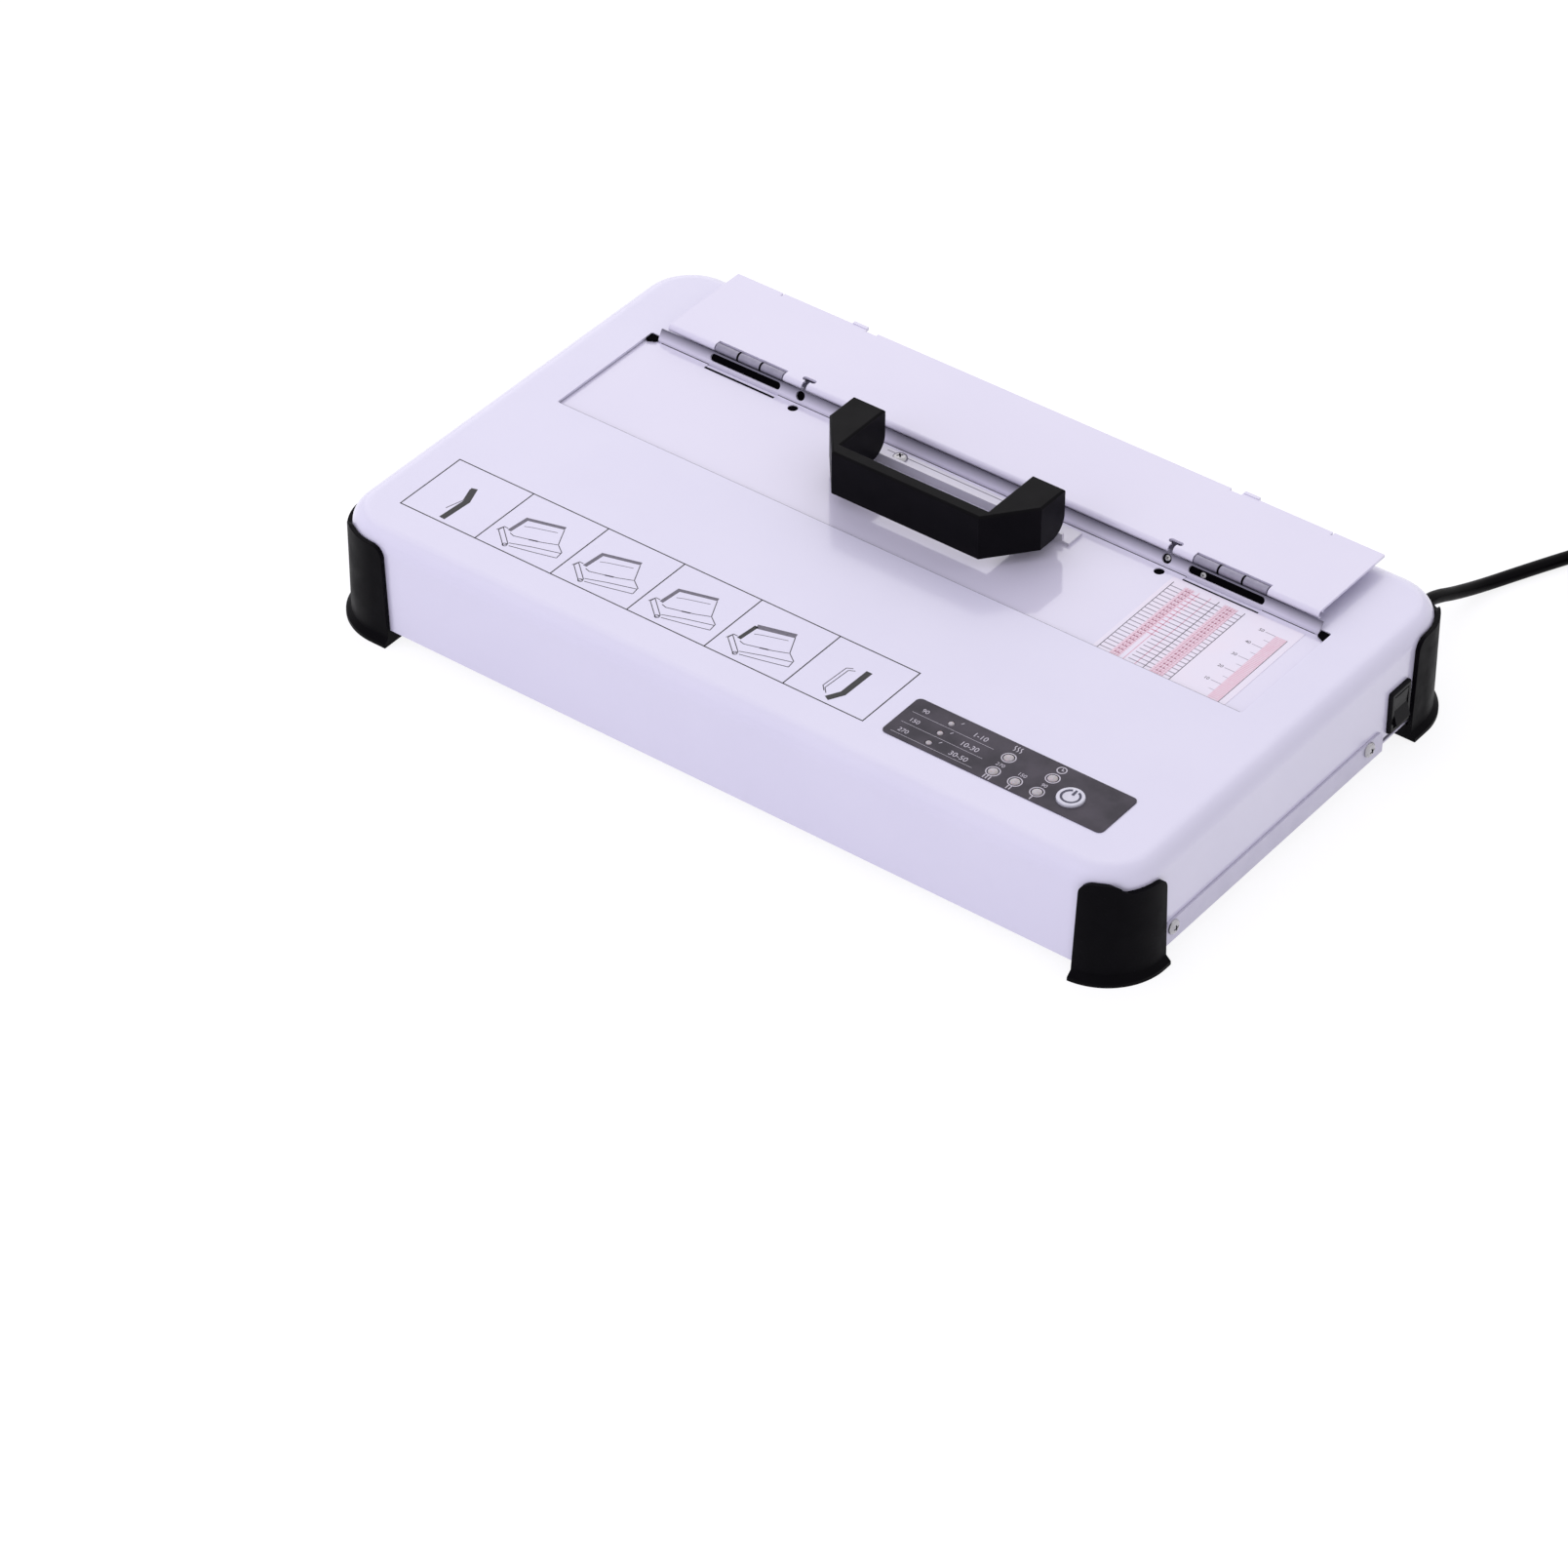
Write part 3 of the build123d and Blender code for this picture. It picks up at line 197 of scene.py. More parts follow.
# cord: the CAD tube's route in mm, nudged by under 3 mm to the line in the photograph
cordFacts = {
    "diameter": 6.0,
    "route": [
        (172.0, 145.0, 18.0), (172.0, 152.5, 17.4), (172.3, 161.5, 14.4), (173.0, 170.4, 10.4),
        (173.9, 178.9, 7.3), (175.3, 187.6, 4.7), (178.0, 196.9, 3.2), (184.0, 210.5, 3.0),
        (191.8, 226.9, 3.0), (200.4, 243.7, 3.0), (210.0, 260.0, 3.0),
    ],
    "coilInner": 23.0,
    "coilTurns": 7.475,
    "coilPitch": 6.5,
    "pointsPerTurn": 14,
    "tailShare": 1.3,           # the coil's straight end, in cord diameters
    "length": 1.79,
}


# a spiral inwards on the floor, then outwards on top of it
def coilPoints():
    facts = cordFacts
    end = Vector(facts["route"][-1])
    heading = (end - Vector(facts["route"][-2])).normalized()
    outerR = facts["coilInner"] + facts["coilTurns"] / 2 * facts["coilPitch"]
    rate = facts["coilPitch"] / (2 * pi)
    angle0 = atan2(heading.y, heading.x) + rate / outerR
    ahead = Vector((cos(angle0), sin(angle0), 0))
    outward = Vector((-sin(angle0), cos(angle0), 0))
    start = end + heading * facts["diameter"]
    centre = start - outward * outerR
    half = facts["coilTurns"] * pi
    count = round(facts["coilTurns"] * facts["pointsPerTurn"])
    found = []
    for step in range(count + 1):
        angle = 2 * half * step / count
        away = angle - half
        radius = facts["coilInner"] + abs(away) * rate
        radius *= 1 / cos(half / count)      # the spline cuts inside its points
        climb = min(max(away / pi + 0.5, 0), 1)
        height = facts["coilPitch"] * climb * climb * (3 - 2 * climb)
        radial = outward * cos(angle) + ahead * sin(angle)
        found.append(centre + radial * radius + Vector((0, 0, height)))
    along = ahead * cos(2 * half) - outward * sin(2 * half)
    found.append(found[-1] + along * facts["diameter"] * facts["tailShare"])
    return found


def makeCord(material):
    points = [Vector(p) for p in cordFacts["route"]] + coilPoints()
    curve = bpy.data.curves.new("powerCordFlex", "CURVE")
    curve.dimensions = "3D"
    spline = curve.splines.new("NURBS")
    spline.points.add(len(points) - 1)
    for point, place in zip(spline.points, points):
        point.co = (*(place * mm), 1)
    spline.order_u = 3
    spline.use_endpoint_u = True
    spline.resolution_u = 8
    curve.bevel_depth = cordFacts["diameter"] / 2 * mm
    curve.bevel_resolution = 5
    curve.use_fill_caps = True
    curve.materials.append(material)
    cord = bpy.data.objects.new("powerCordFlex", curve)
    scene.collection.objects.link(cord)
    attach(cord, "frame")
    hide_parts("power_cord", "cord_coil")


# finishes: each is one real material, with the way its surface was made
# mottle is (size mm, second hex, share), grain is rows of (size mm, stretch, height mm, kind),
# roughNoise is (size mm, low, high), fade is (low mm, high mm, hex that the top fades to),
# which paints shade: the colour darkens towards the top
def finish(name, base, sockets, mottle, grain=(), roughNoise=None, fade=None):
    material = bpy.data.materials.new(name)
    material.use_nodes = True
    tree = material.node_tree
    tree.nodes.clear()
    output = addNode(tree, "ShaderNodeOutputMaterial")
    shader = addNode(tree, "ShaderNodeBsdfPrincipled", inputs=sockets)
    tree.links.new(shader.outputs[0], output.inputs["Surface"])
    place = addNode(tree, "ShaderNodeTexCoord").outputs["Object"]
    shader.inputs["Base Color"].default_value = hexColor(base)
    sizeMm, second, share = mottle
    noise = addNode(
        tree, "ShaderNodeTexNoise",
        inputs={"Vector": place, "Scale": perMetre(sizeMm), "Detail": 3.0},
    )
    spread = addNode(
        tree, "ShaderNodeMapRange",
        inputs={
            "Value": noise.outputs["Fac"], "From Min": 0.35, "From Max": 0.65, "To Max": share,
        },
    )
    color = addNode(
        tree, "ShaderNodeMix", {"data_type": "RGBA"},
        {"Factor": spread.outputs[0], 6: hexColor(base), 7: hexColor(second)},
    ).outputs[2]
    # painted shade: the colour runs to the darker hex between the two heights
    if fade:
        low, high, dark = fade
        height = addNode(tree, "ShaderNodeSeparateXYZ", inputs={"Vector": place}).outputs["Z"]
        spread = addNode(
            tree, "ShaderNodeMapRange",
            inputs={"Value": height, "From Min": low * mm, "From Max": high * mm},
        )
        color = addNode(
            tree, "ShaderNodeMix", {"data_type": "RGBA"},
            {"Factor": spread.outputs[0], 6: color, 7: hexColor(dark)},
        ).outputs[2]
    tree.links.new(color, shader.inputs["Base Color"])
    if roughNoise:
        sizeMm, low, high = roughNoise
        noise = addNode(
            tree, "ShaderNodeTexNoise",
            inputs={"Vector": place, "Scale": perMetre(sizeMm), "Detail": 4.0},
        )
        spread = addNode(
            tree, "ShaderNodeMapRange",
            inputs={
                "Value": noise.outputs["Fac"], "From Min": 0.3, "From Max": 0.7,
                "To Min": low, "To Max": high,
            },
        )
        tree.links.new(spread.outputs[0], shader.inputs["Roughness"])
    normal = None
    for sizeMm, stretch, heightMm, kind in grain:
        mapped = addNode(
            tree, "ShaderNodeMapping",
            inputs={"Vector": place, "Scale": [perMetre(sizeMm) / s for s in stretch]},
        )
        if kind == "cells":
            pattern = addNode(
                tree, "ShaderNodeTexVoronoi", inputs={"Vector": mapped.outputs[0], "Scale": 1.0}
            ).outputs["Distance"]
        else:
            pattern = addNode(
                tree, "ShaderNodeTexNoise",
                inputs={"Vector": mapped.outputs[0], "Scale": 1.0, "Detail": 2.0},
            ).outputs["Fac"]
        bump = addNode(
            tree, "ShaderNodeBump",
            inputs={"Height": pattern, "Distance": heightMm * mm, "Strength": 1.0},
        )
        if normal:
            tree.links.new(normal, bump.inputs["Normal"])
        normal = bump.outputs["Normal"]
    if normal:
        tree.links.new(normal, shader.inputs["Normal"])
    return material


even = (1, 1, 1)
alongX = (40, 1, 1)         # brushed or drawn lengthwise

# Epoxy powder coat on sheet steel, baked: glossy white with a faint orange peel.
powderCoat = finish(
    "powderCoatedSteelWhite", "#e2dff0",
    {"Roughness": 0.34, "Specular IOR Level": 0.5, "Coat Weight": 0.9, "Coat IOR": 1.5,
     "Coat Roughness": 0.14},
    mottle=(45, "#dedbed", 0.5), grain=[(2.2, even, 0.0025, "noise")], roughNoise=(30, 0.3, 0.38),
)
# Sprayed enamel of the sliding table and the back support: flows out flatter than powder, so it
# shows a clear image of the handle.
tablePaint = finish(
    "sprayedEnamelSteelWhite", "#e4e0f0",
    {"Roughness": 0.14, "Specular IOR Level": 0.5, "Coat Weight": 0.9, "Coat IOR": 1.5,
     "Coat Roughness": 0.03},
    mottle=(60, "#e0dcee", 0.5), grain=[(2.8, even, 0.002, "noise")], roughNoise=(40, 0.12, 0.17),
)
# Injection moulded ABS with a spark-eroded texture: deep black, soft sheen.
footPlastic = finish(
    "mouldedAbsBlackTextured", "#050407",
    {"Roughness": 0.55, "Specular IOR Level": 0.04},
    mottle=(6, "#08070b", 0.6), grain=[(0.7, even, 0.035, "cells")], roughNoise=(9, 0.4, 0.55),
)
# The handle's nylon has a finer texture, polished where hands hold it.
handlePlastic = finish(
    "mouldedNylonBlackSatin", "#060508",
    {"Roughness": 0.45, "Specular IOR Level": 0.06},
    mottle=(8, "#0b090d", 0.6), grain=[(0.6, even, 0.022, "cells")], roughNoise=(14, 0.33, 0.48),
)
# Polycarbonate film, printed dark grey on its back: a fine velvet face.
panelFilm = finish(
    "printedPolycarbonateFilm", "#38343c",
    {"Roughness": 0.42, "Specular IOR Level": 0.2},
    mottle=(14, "#524c55", 0.7), grain=[(0.4, even, 0.006, "noise")],
)
# Milky acrylic light pipes.
lampLens = finish(
    "mouldedAcrylicMilky", "#b9b3b8",
    {"Roughness": 0.22, "Coat Weight": 0.4, "Subsurface Weight": 0.12, "Subsurface Scale": 0.002},
    mottle=(1.6, "#a39c96", 0.6),
)
# Silver-sprayed ABS button.
buttonPlastic = finish(
    "sprayedAbsSilver", "#d5d4de",
    {"Roughness": 0.3, "Metallic": 0.15, "Coat Weight": 0.3},
    mottle=(3, "#c6c5d2", 0.5), grain=[(0.5, even, 0.004, "noise")],
)
# Zinc plated sheet steel, kept paler and less metallic than new plating, as the photograph's soft
# light shows it: drawn along its length and cloudy.
zincSteel = finish(
    "zincPlatedSheetSteel", "#d6d3e2",
    {"Metallic": 0.2, "Roughness": 0.5},
    mottle=(11, "#cfccdc", 0.6), grain=[(0.8, alongX, 0.002, "noise")], roughNoise=(6, 0.44, 0.56),
)
# Satin paint on the jaw's folded steel, pale at its foot. It fades to a dark grey at the top,
# for the shadow that the photograph shows under the back support's edge.
jawSteelPaintedShadow = finish(
    "satinPaintedSheetSteel", "#dad6e6",
    {"Roughness": 0.45, "Specular IOR Level": 0.3},
    mottle=(22, "#d2cede", 0.6), grain=[(0.6, alongX, 0.003, "noise")], roughNoise=(12, 0.36, 0.48),
    fade=(55.0, 58.5, "#6a6776"),
)
# Barrel plated steel of the hinges: duller and greyer than the screws.
hingeSteel = finish(
    "barrelPlatedHingeSteel", "#9b97a8",
    {"Metallic": 0.3, "Roughness": 0.5},
    mottle=(4, "#8b8899", 0.6), roughNoise=(2, 0.34, 0.48),
)
# Nickel-plated steel of screws and rivets: bright, with soft patches.
nickelSteel = finish(
    "nickelPlatedSteel", "#b3b1b6",
    {"Metallic": 1.0, "Roughness": 0.22},
    mottle=(3, "#9a989e", 0.6), roughNoise=(1.6, 0.16, 0.32),
)
# Inside of a screw's cross: painted dark, as shade in the recess.
recessPaintedShade = finish(
    "oiledRecessSteel", "#2b2930",
    {"Metallic": 0.4, "Roughness": 0.6},
    mottle=(0.6, "#3a3840", 0.7),
)
# The extrusion's fine grooves, drawn as dark lines: painted shade in the grooves.
grooveShadePaint = finish(
    "dullGrooveAluminium", "#5d5a66",
    {"Metallic": 0.4, "Roughness": 0.5},
    mottle=(3, "#787581", 0.9),
)
# Extruded aluminium, satin anodised and kept pale: fine lines along the extrusion.
satinAluminium = finish(
    "anodisedAluminiumExtrusion", "#d8d5df",
    {"Metallic": 0.25, "Roughness": 0.42},
    mottle=(24, "#ceccd7", 0.5), grain=[(0.35, alongX, 0.006, "noise")], roughNoise=(7, 0.36, 0.48),
)
# Laminated card: white, with the gloss of its film.
cardFilm = finish(
    "laminatedPrintedCard", "#ebe5f2",
    {"Roughness": 0.2, "Specular IOR Level": 0.5, "Coat Weight": 0.9, "Coat Roughness": 0.05},
    mottle=(20, "#efe4ef", 0.6),
)
# Moulded nylon of the mains switch, mirror-moulded rocker.
switchPlastic = finish(
    "mouldedNylonBlackGloss", "#08070b",
    {"Roughness": 0.3, "Specular IOR Level": 0.08},
    mottle=(4, "#0b0a0e", 0.6), grain=[(0.6, even, 0.01, "noise")], roughNoise=(5, 0.2, 0.34),
)
# Glass-epoxy laminate with green solder mask.
circuitBoard = finish(
    "glassEpoxySolderMask", "#1f6a44",
    {"Roughness": 0.35, "Coat Weight": 0.3},
    mottle=(1.6, "#2f8a55", 0.8), grain=[(1.2, (6, 1, 1), 0.03, "cells")],
)
# Natural nylon of the stand-offs.
postPlastic = finish(
    "machinedNylonNatural", "#e4e0d2",
    {"Roughness": 0.4, "Subsurface Weight": 0.1, "Subsurface Scale": 0.002},
    mottle=(3, "#d8d3c2", 0.6), grain=[(0.4, even, 0.008, "noise")],
)
# Mica and ceramic paper round the element.
heaterCeramic = finish(
    "pressedMicaBoard", "#cfc8b4",
    {"Roughness": 0.62},
    mottle=(2.4, "#b4aa8f", 0.8), grain=[(1.5, even, 0.03, "cells")],
)
# Polyester tape over the winding.
windingTape = finish(
    "polyesterTapeYellow", "#d9b53c",
    {"Roughness": 0.3, "Coat Weight": 0.4},
    mottle=(5, "#c59e2c", 0.6), grain=[(1.2, (1, 1, 12), 0.02, "noise")],
)
# Moulded EPDM buffers: dull, slightly bloomed.
bufferRubber = finish(
    "mouldedEpdmRubber", "#26252a",
    {"Roughness": 0.72, "Specular IOR Level": 0.3},
    mottle=(2, "#34333a", 0.7), grain=[(0.5, even, 0.02, "noise")],
)
# Flat black for painted shade in gaps, slots and eyes.
shadeBlack = finish(
    "needledFeltBlack", "#060508",
    {"Roughness": 0.95, "Specular IOR Level": 0.02},
    mottle=(0.8, "#0a090c", 0.8), grain=[(0.3, even, 0.05, "cells")],
)
# Extruded PVC sheath: satin black with a faint draw line.
cordSheath = finish(
    "extrudedPvcSheathBlack", "#030204",
    {"Roughness": 0.45, "Specular IOR Level": 0.05},
    mottle=(7, "#060508", 0.6), grain=[(0.8, even, 0.012, "noise")], roughNoise=(6, 0.32, 0.46),
)
# Nickel-plated brass of the plug's pins.
pinBrass = finish(
    "nickelPlatedBrass", "#d9d4c4",
    {"Metallic": 1.0, "Roughness": 0.2},
    mottle=(3, "#c6bea8", 0.6), roughNoise=(2, 0.14, 0.28),
)
# Screen-printing inks: flat, a little uneven where the mesh let less through.
inkBlack = finish("screenInkBlack", "#121016", {"Roughness": 0.5}, (1.2, "#1d1b21", 0.8))
inkFine = finish("screenInkFine", "#37343d", {"Roughness": 0.5}, (1.2, "#46434d", 0.8))
inkGrey = finish("screenInkGrey", "#625e6a", {"Roughness": 0.5}, (1.2, "#75717d", 0.8))
inkWhite = finish("screenInkWhite", "#cfcad2", {"Roughness": 0.5}, (0.8, "#bdb8c0", 0.8))
# Offset inks of the card: transparent, so they sink into the paper's white.
inkRow = finish("offsetInkGrey", "#8d8691", {"Roughness": 0.4}, (1.5, "#a19aa5", 0.8))
inkRed = finish("offsetInkRed", "#da93a8", {"Roughness": 0.4}, (1.5, "#e0a9b9", 0.8))
inkWine = finish("offsetInkWine", "#9c5c72", {"Roughness": 0.4}, (1.5, "#b07287", 0.8))
inkPink = finish("offsetInkPink", "#f1d6e1", {"Roughness": 0.4}, (2.5, "#f0dee7", 0.8))
# Pad-printed ink of the button's mark.
inkNavy = finish("padPrintInkNavy", "#34324a", {"Roughness": 0.4}, (1.0, "#403e58", 0.7))

finishOfSlot = {
    "housing_paint": powderCoat, "table_paint": tablePaint, "foot_plastic": footPlastic,
    "handle_plastic": handlePlastic, "panel_film": panelFilm, "lamp_lens": lampLens,
    "button_plastic": buttonPlastic, "zinc_steel": zincSteel, "screw_steel": nickelSteel,
    "aluminium": satinAluminium, "card_film": cardFilm, "switch_plastic": switchPlastic,
    "circuit_board": circuitBoard, "post_plastic": postPlastic, "heater_ceramic": heaterCeramic,
    "transformer_tape": windingTape, "buffer_rubber": bufferRubber, "cord_rubber": cordSheath,
    "plug_brass": pinBrass,
}
finishOfNode = {
    "rear_jaw": jawSteelPaintedShadow, "hinge_base_leaves": hingeSteel, "hinge_flap_leaves": hingeSteel,
    "hinge_pins": hingeSteel,
}
slotOfNode = {row["node"]: row["material_slot"] for row in record["subparts"]}
for nodeName, slotName in slotOfNode.items():
    finishOfNode.setdefault(nodeName, finishOfSlot[slotName])
bodyOfNode = {n: b for b, names in record["behaviour"]["bodies"].items() for n in names}
for nodeName, nodeObject in nodes.items():
    nodeObject.data.materials.clear()
    nodeObject.data.materials.append(finishOfNode[nodeName])
print("finishes made:", len(bpy.data.materials))

makeCord(cordSheath)
print("cord laid")


# moulded and folded pieces get the small edge radius that a CAD solid leaves out
edgeRadii = {
    "handle": 0.5,
    "foot_front_left": 0.4, "foot_front_right": 0.4, "foot_rear_left": 0.4, "foot_rear_right": 0.4,
    "clamp_table": 0.12, "back_support": 0.2, "handle_bracket": 0.3, "front_jaw": 0.2,
    "rear_jaw": 0.15,
}
edgeFacts = {
    "segments": 2, "sharpDegrees": 40, "smoothDegrees": 32, "flatDegrees": 0.4,
    "mergeWithin": 0.002,
}


def softened(nodeName, width):
    mesh = nodes[nodeName].data.copy()
    mesh.name = nodeName + "Soft"
    work = bmesh.new()
    work.from_mesh(mesh)
    bmesh.ops.remove_doubles(work, verts=work.verts, dist=edgeFacts["mergeWithin"] * mm)
    bmesh.ops.dissolve_limit(
        work, angle_limit=radians(edgeFacts["flatDegrees"]), verts=work.verts, edges=work.edges,
        delimit={"NORMAL"},
    )
    work.to_mesh(mesh)
    work.free()
    obj = meshObject(
        nodeName + "Soft", mesh, bodyOfNode[nodeName],
        finishOfNode[nodeName],
    )
    shadeByAngle(mesh, edgeFacts["smoothDegrees"])
    bevel = obj.modifiers.new("edgeRadius", "BEVEL")
    bevel.width = width * mm
    bevel.segments = edgeFacts["segments"]
    bevel.limit_method = "ANGLE"
    bevel.angle_limit = radians(edgeFacts["sharpDegrees"])
    bevel.use_clamp_overlap = True
    level = obj.modifiers.new("flatStaysFlat", "WEIGHTED_NORMAL")
    level.keep_sharp = True
    made = evaluatedMesh(obj)
    obj.modifiers.clear()
    obj.data = made
    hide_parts(nodeName)
    return obj


softPieces = {name: softened(name, width) for name, width in edgeRadii.items()}
print("edges softened:", len(softPieces))


# painted shade: black sheets behind each slot and eye of the rear jaw, read as dark openings
jawSeals = {
    "foot": (63.9, 54.2), "leanDegrees": 58.7, "along": (0.5, 4.95), "deep": (1.02, 1.5),
    "spans": ((-147.0, -105.0), (-99.4, -92.6), (92.6, 99.4), (105.0, 147.0)),
    "step": 3.0, "wave": 0.06, "waveTurn": 2.3,
}
# the two slots and two eyes, a little larger than in the solid: (x, half length, half height)
jawOpenings = {
    "rows": ((-126.0, 19.0, 1.7), (126.0, 19.0, 1.7), (-96.0, 2.3, 2.1), (96.0, 2.3, 2.1)),
    "along": 2.8, "deep": 0.5, "cutHalf": 3.0, "steps": 40,
}


# a place on the jaw's slanted band: up along it and in behind its face, in mm
def bandPoint(x, along, deep):
    lean = radians(jawSeals["leanDegrees"])
    y, z = jawSeals["foot"]
    y += along * cos(lean) + deep * sin(lean)
    z += along * sin(lean) - deep * cos(lean)
    return Vector((x, y, z))


def openJaw():
    jaw = softPieces["rear_jaw"]
    lean = Matrix.Rotation(radians(jawSeals["leanDegrees"]), 4, "X")
    cutHalf = jawOpenings["cutHalf"]
    cutters = []
    for x, halfLong, halfHigh in jawOpenings["rows"]:
        straight = max(halfLong - halfHigh, 0)
        outline = [
            (u + (straight if u > 0 else -straight), v)
            for u, v in roundOutline(halfHigh, steps=jawOpenings["steps"])
        ]
        work = bmesh.new()
        prism(work, outline, "Z", -cutHalf, cutHalf)
        mesh = meshOf(work, "jawCutter")
        spot = bandPoint(x, jawOpenings["along"], jawOpenings["deep"])
        mesh.transform(Matrix.Translation(spot * mm) @ lean)
        cutters.append(mesh)
    cutOut(jaw, cutters)
    shadeByAngle(jaw.data, edgeFacts["smoothDegrees"])


def makeJawSeals():
    work = bmesh.new()
    low, high = jawSeals["along"]
    near, far = jawSeals["deep"]
    for x0, x1 in jawSeals["spans"]:
        count = max(2, round((x1 - x0) / jawSeals["step"]))
        rings = []
        for i in range(count + 1):          # the sheet's back edge waves a little
            x = x0 + (x1 - x0) * i / count
            back = far + jawSeals["wave"] * sin(i * jawSeals["waveTurn"])
            corners = ((low, near), (high, near), (high, back), (low, back))
            rings.append([work.verts.new(bandPoint(x, a, d) * mm) for a, d in corners])
        skinned(work, rings)
    meshObject("jawSeals", meshOf(work, "jawSeals"), "frame", shadeBlack)


openJaw()
makeJawSeals()


# a black strip at the front edge of each notch in the table, painted shadow, and a pale ledge
# behind it
notchStrips = {
    "x": 126.0, "half": 18.9, "chamfer": 0.1,
    "black": ((60.3, 61.6), (51.4, 53.38)), "ledge": ((61.65, 63.45), (51.6, 53.0)),
}


def makeNotchStrip(name, span, material):
    work = bmesh.new()
    (y0, y1), (z0, z1) = span
    cut = notchStrips["chamfer"]
    outline = (
        (y0, z0), (y1, z0), (y1, z1 - cut), (y1 - cut, z1), (y0 + cut, z1), (y0, z1 - cut),
    )
    for side in (-1, 1):
        middle = side * notchStrips["x"]
        prism(work, outline, "X", middle - notchStrips["half"], middle + notchStrips["half"])
    meshObject(name, meshOf(work, name), "clamp", material)


makeNotchStrip("notchStrips", notchStrips["black"], shadeBlack)
makeNotchStrip("notchLedges", notchStrips["ledge"], tablePaint)


# small black pieces of painted shade: under the table's eyes, in the gaps between the hinges'
# knuckles, in the gaps at the jaw's ends, along the opening's front edge and in front of the jaw
smallBlack = {
    "eyeX": 96.0, "eyeY": 60.0, "eyeRadius": 2.7, "eyeZ": (52.2, 52.75),
    "knuckleGapX": (119.9, 132.1), "knuckleGapRadius": 2.14, "knuckleGapHalf": 0.45,
    "hingeAxis": (69.5, 59.3),
    "gapCorners": ((173.3, 62.7), (173.3, 65.8), (177.7, 65.8), (177.7, 61.5), (176.9, 60.9)),
    "gapZ": (53.5, 54.6),
    "edgeShadeProfile": ((0.04, 53.62), (0.4, 53.62), (0.4, 54.75), (0.3, 54.85), (0.04, 54.85)),
    "edgeShadeX": 177.0,
    "jawFootShadeProfile": ((63.54, 52.0), (63.88, 52.0), (63.88, 53.3), (63.64, 53.3), (63.54, 53.2)),
    "jawFootShadeSpans": ((-171.0, -145.0), (-107.0, 107.0), (145.0, 171.0)),
}


def addFelt(name, work, body):
    mesh = meshOf(work, name)
    shadeByAngle(mesh)
    meshObject(name, mesh, body, shadeBlack)


def makeSmallBlack():
    facts = smallBlack
    half = facts["knuckleGapHalf"]
    disc = roundOutline(facts["knuckleGapRadius"], facts["hingeAxis"])
    eyes, knuckleGaps, gaps, edgeShade, jawFootShade = [bmesh.new() for _ in range(5)]
    for side in (-1, 1):
        middle = (side * facts["eyeX"], facts["eyeY"])
        prism(eyes, roundOutline(facts["eyeRadius"], middle), "Z", *facts["eyeZ"])
        for x in facts["knuckleGapX"]:
            prism(knuckleGaps, disc, "X", side * x - half, side * x + half)
        prism(gaps, [(side * u, v) for u, v in facts["gapCorners"]], "Z", *facts["gapZ"])
    prism(edgeShade, facts["edgeShadeProfile"], "X", -facts["edgeShadeX"], facts["edgeShadeX"])
    for span in facts["jawFootShadeSpans"]:
        prism(jawFootShade, facts["jawFootShadeProfile"], "X", *span)
    addFelt("tableEyeFelts", eyes, "clamp")
    addFelt("hingeWashers", knuckleGaps, "frame")
    addFelt("jawEndFelts", gaps, "frame")
    addFelt("tableWiperFelt", edgeShade, "frame")
    addFelt("jawGasket", jawFootShade, "frame")


makeSmallBlack()


sharpestCorner = 0.4        # keeps a printed ribbon's outer corner from running out to a spike
digitHalf = 0.01            # half of a printed digit's thickness in mm


# printing: strokes is rows of (points, width mm), each a thin raised ribbon with square ends
def inkStrokes(name, strokes, topZ, body, material, thick=0.02):
    work = bmesh.new()
    for points, width in strokes:
        line = [Vector((p[0], p[1])) for p in points]
        left, right = [], []
        for i, here in enumerate(line):
            before = line[max(i - 1, 0)]
            after = line[min(i + 1, len(line) - 1)]
            inDir = (here - before).normalized() if i else (after - here).normalized()
            outDir = (after - here).normalized() if i < len(line) - 1 else inDir
            mean = (inDir + outDir).normalized()
            side = Vector((-mean.y, mean.x))
            reach = width / 2 / max(side.dot(Vector((-inDir.y, inDir.x))), sharpestCorner)
            left.append(here + side * reach)
            right.append(here - side * reach)
        skinned(work, [
            [
                work.verts.new((p.x * mm, p.y * mm, z * mm))
                for p, z in ((lo, topZ + thick), (hi, topZ + thick), (hi, topZ), (lo, topZ))
            ]
            for lo, hi in zip(left, right)
        ])
    return meshObject(name, meshOf(work, name), body, material)


def ringStroke(centre, radius, width, start=0, stop=360, steps=28):
    points = [
        (centre[0] + radius * cos(radians(start + (stop - start) * i / steps)),
         centre[1] + radius * sin(radians(start + (stop - start) * i / steps)))
        for i in range(steps + 1)
    ]
    return (points, width)


# digits as a thin mesh, centred on a place
def printedNumber(name, words, place, size, topZ, body, material):
    text = bpy.data.curves.new(name, "FONT")
    text.body = words
    text.size = size * mm
    text.align_x = "CENTER"
    text.align_y = "CENTER"
    text.extrude = digitHalf * mm
    holder = bpy.data.objects.new(name + "Text", text)
    scene.collection.objects.link(holder)
    mesh = evaluatedMesh(holder)
    bpy.data.objects.remove(holder)
    mesh.transform(Matrix.Translation((place[0] * mm, place[1] * mm, (topZ + digitHalf) * mm)))
    mesh.name = name
    return meshObject(name, mesh, body, material)


guideStrip = {
    "x": (-184.3, 59.3), "y": (-97.5, -58.2), "z": 55.0, "cells": 6,
    "line": 0.6, "fineLine": 0.42, "backShare": 0.75, "handleLine": 0.8,
    "spineWidth": 3.0, "coverWidth": 1.9, "loadedWidths": (2.0, 2.8),
    "knobRadius": 1.0, "knobSteps": 14,
}
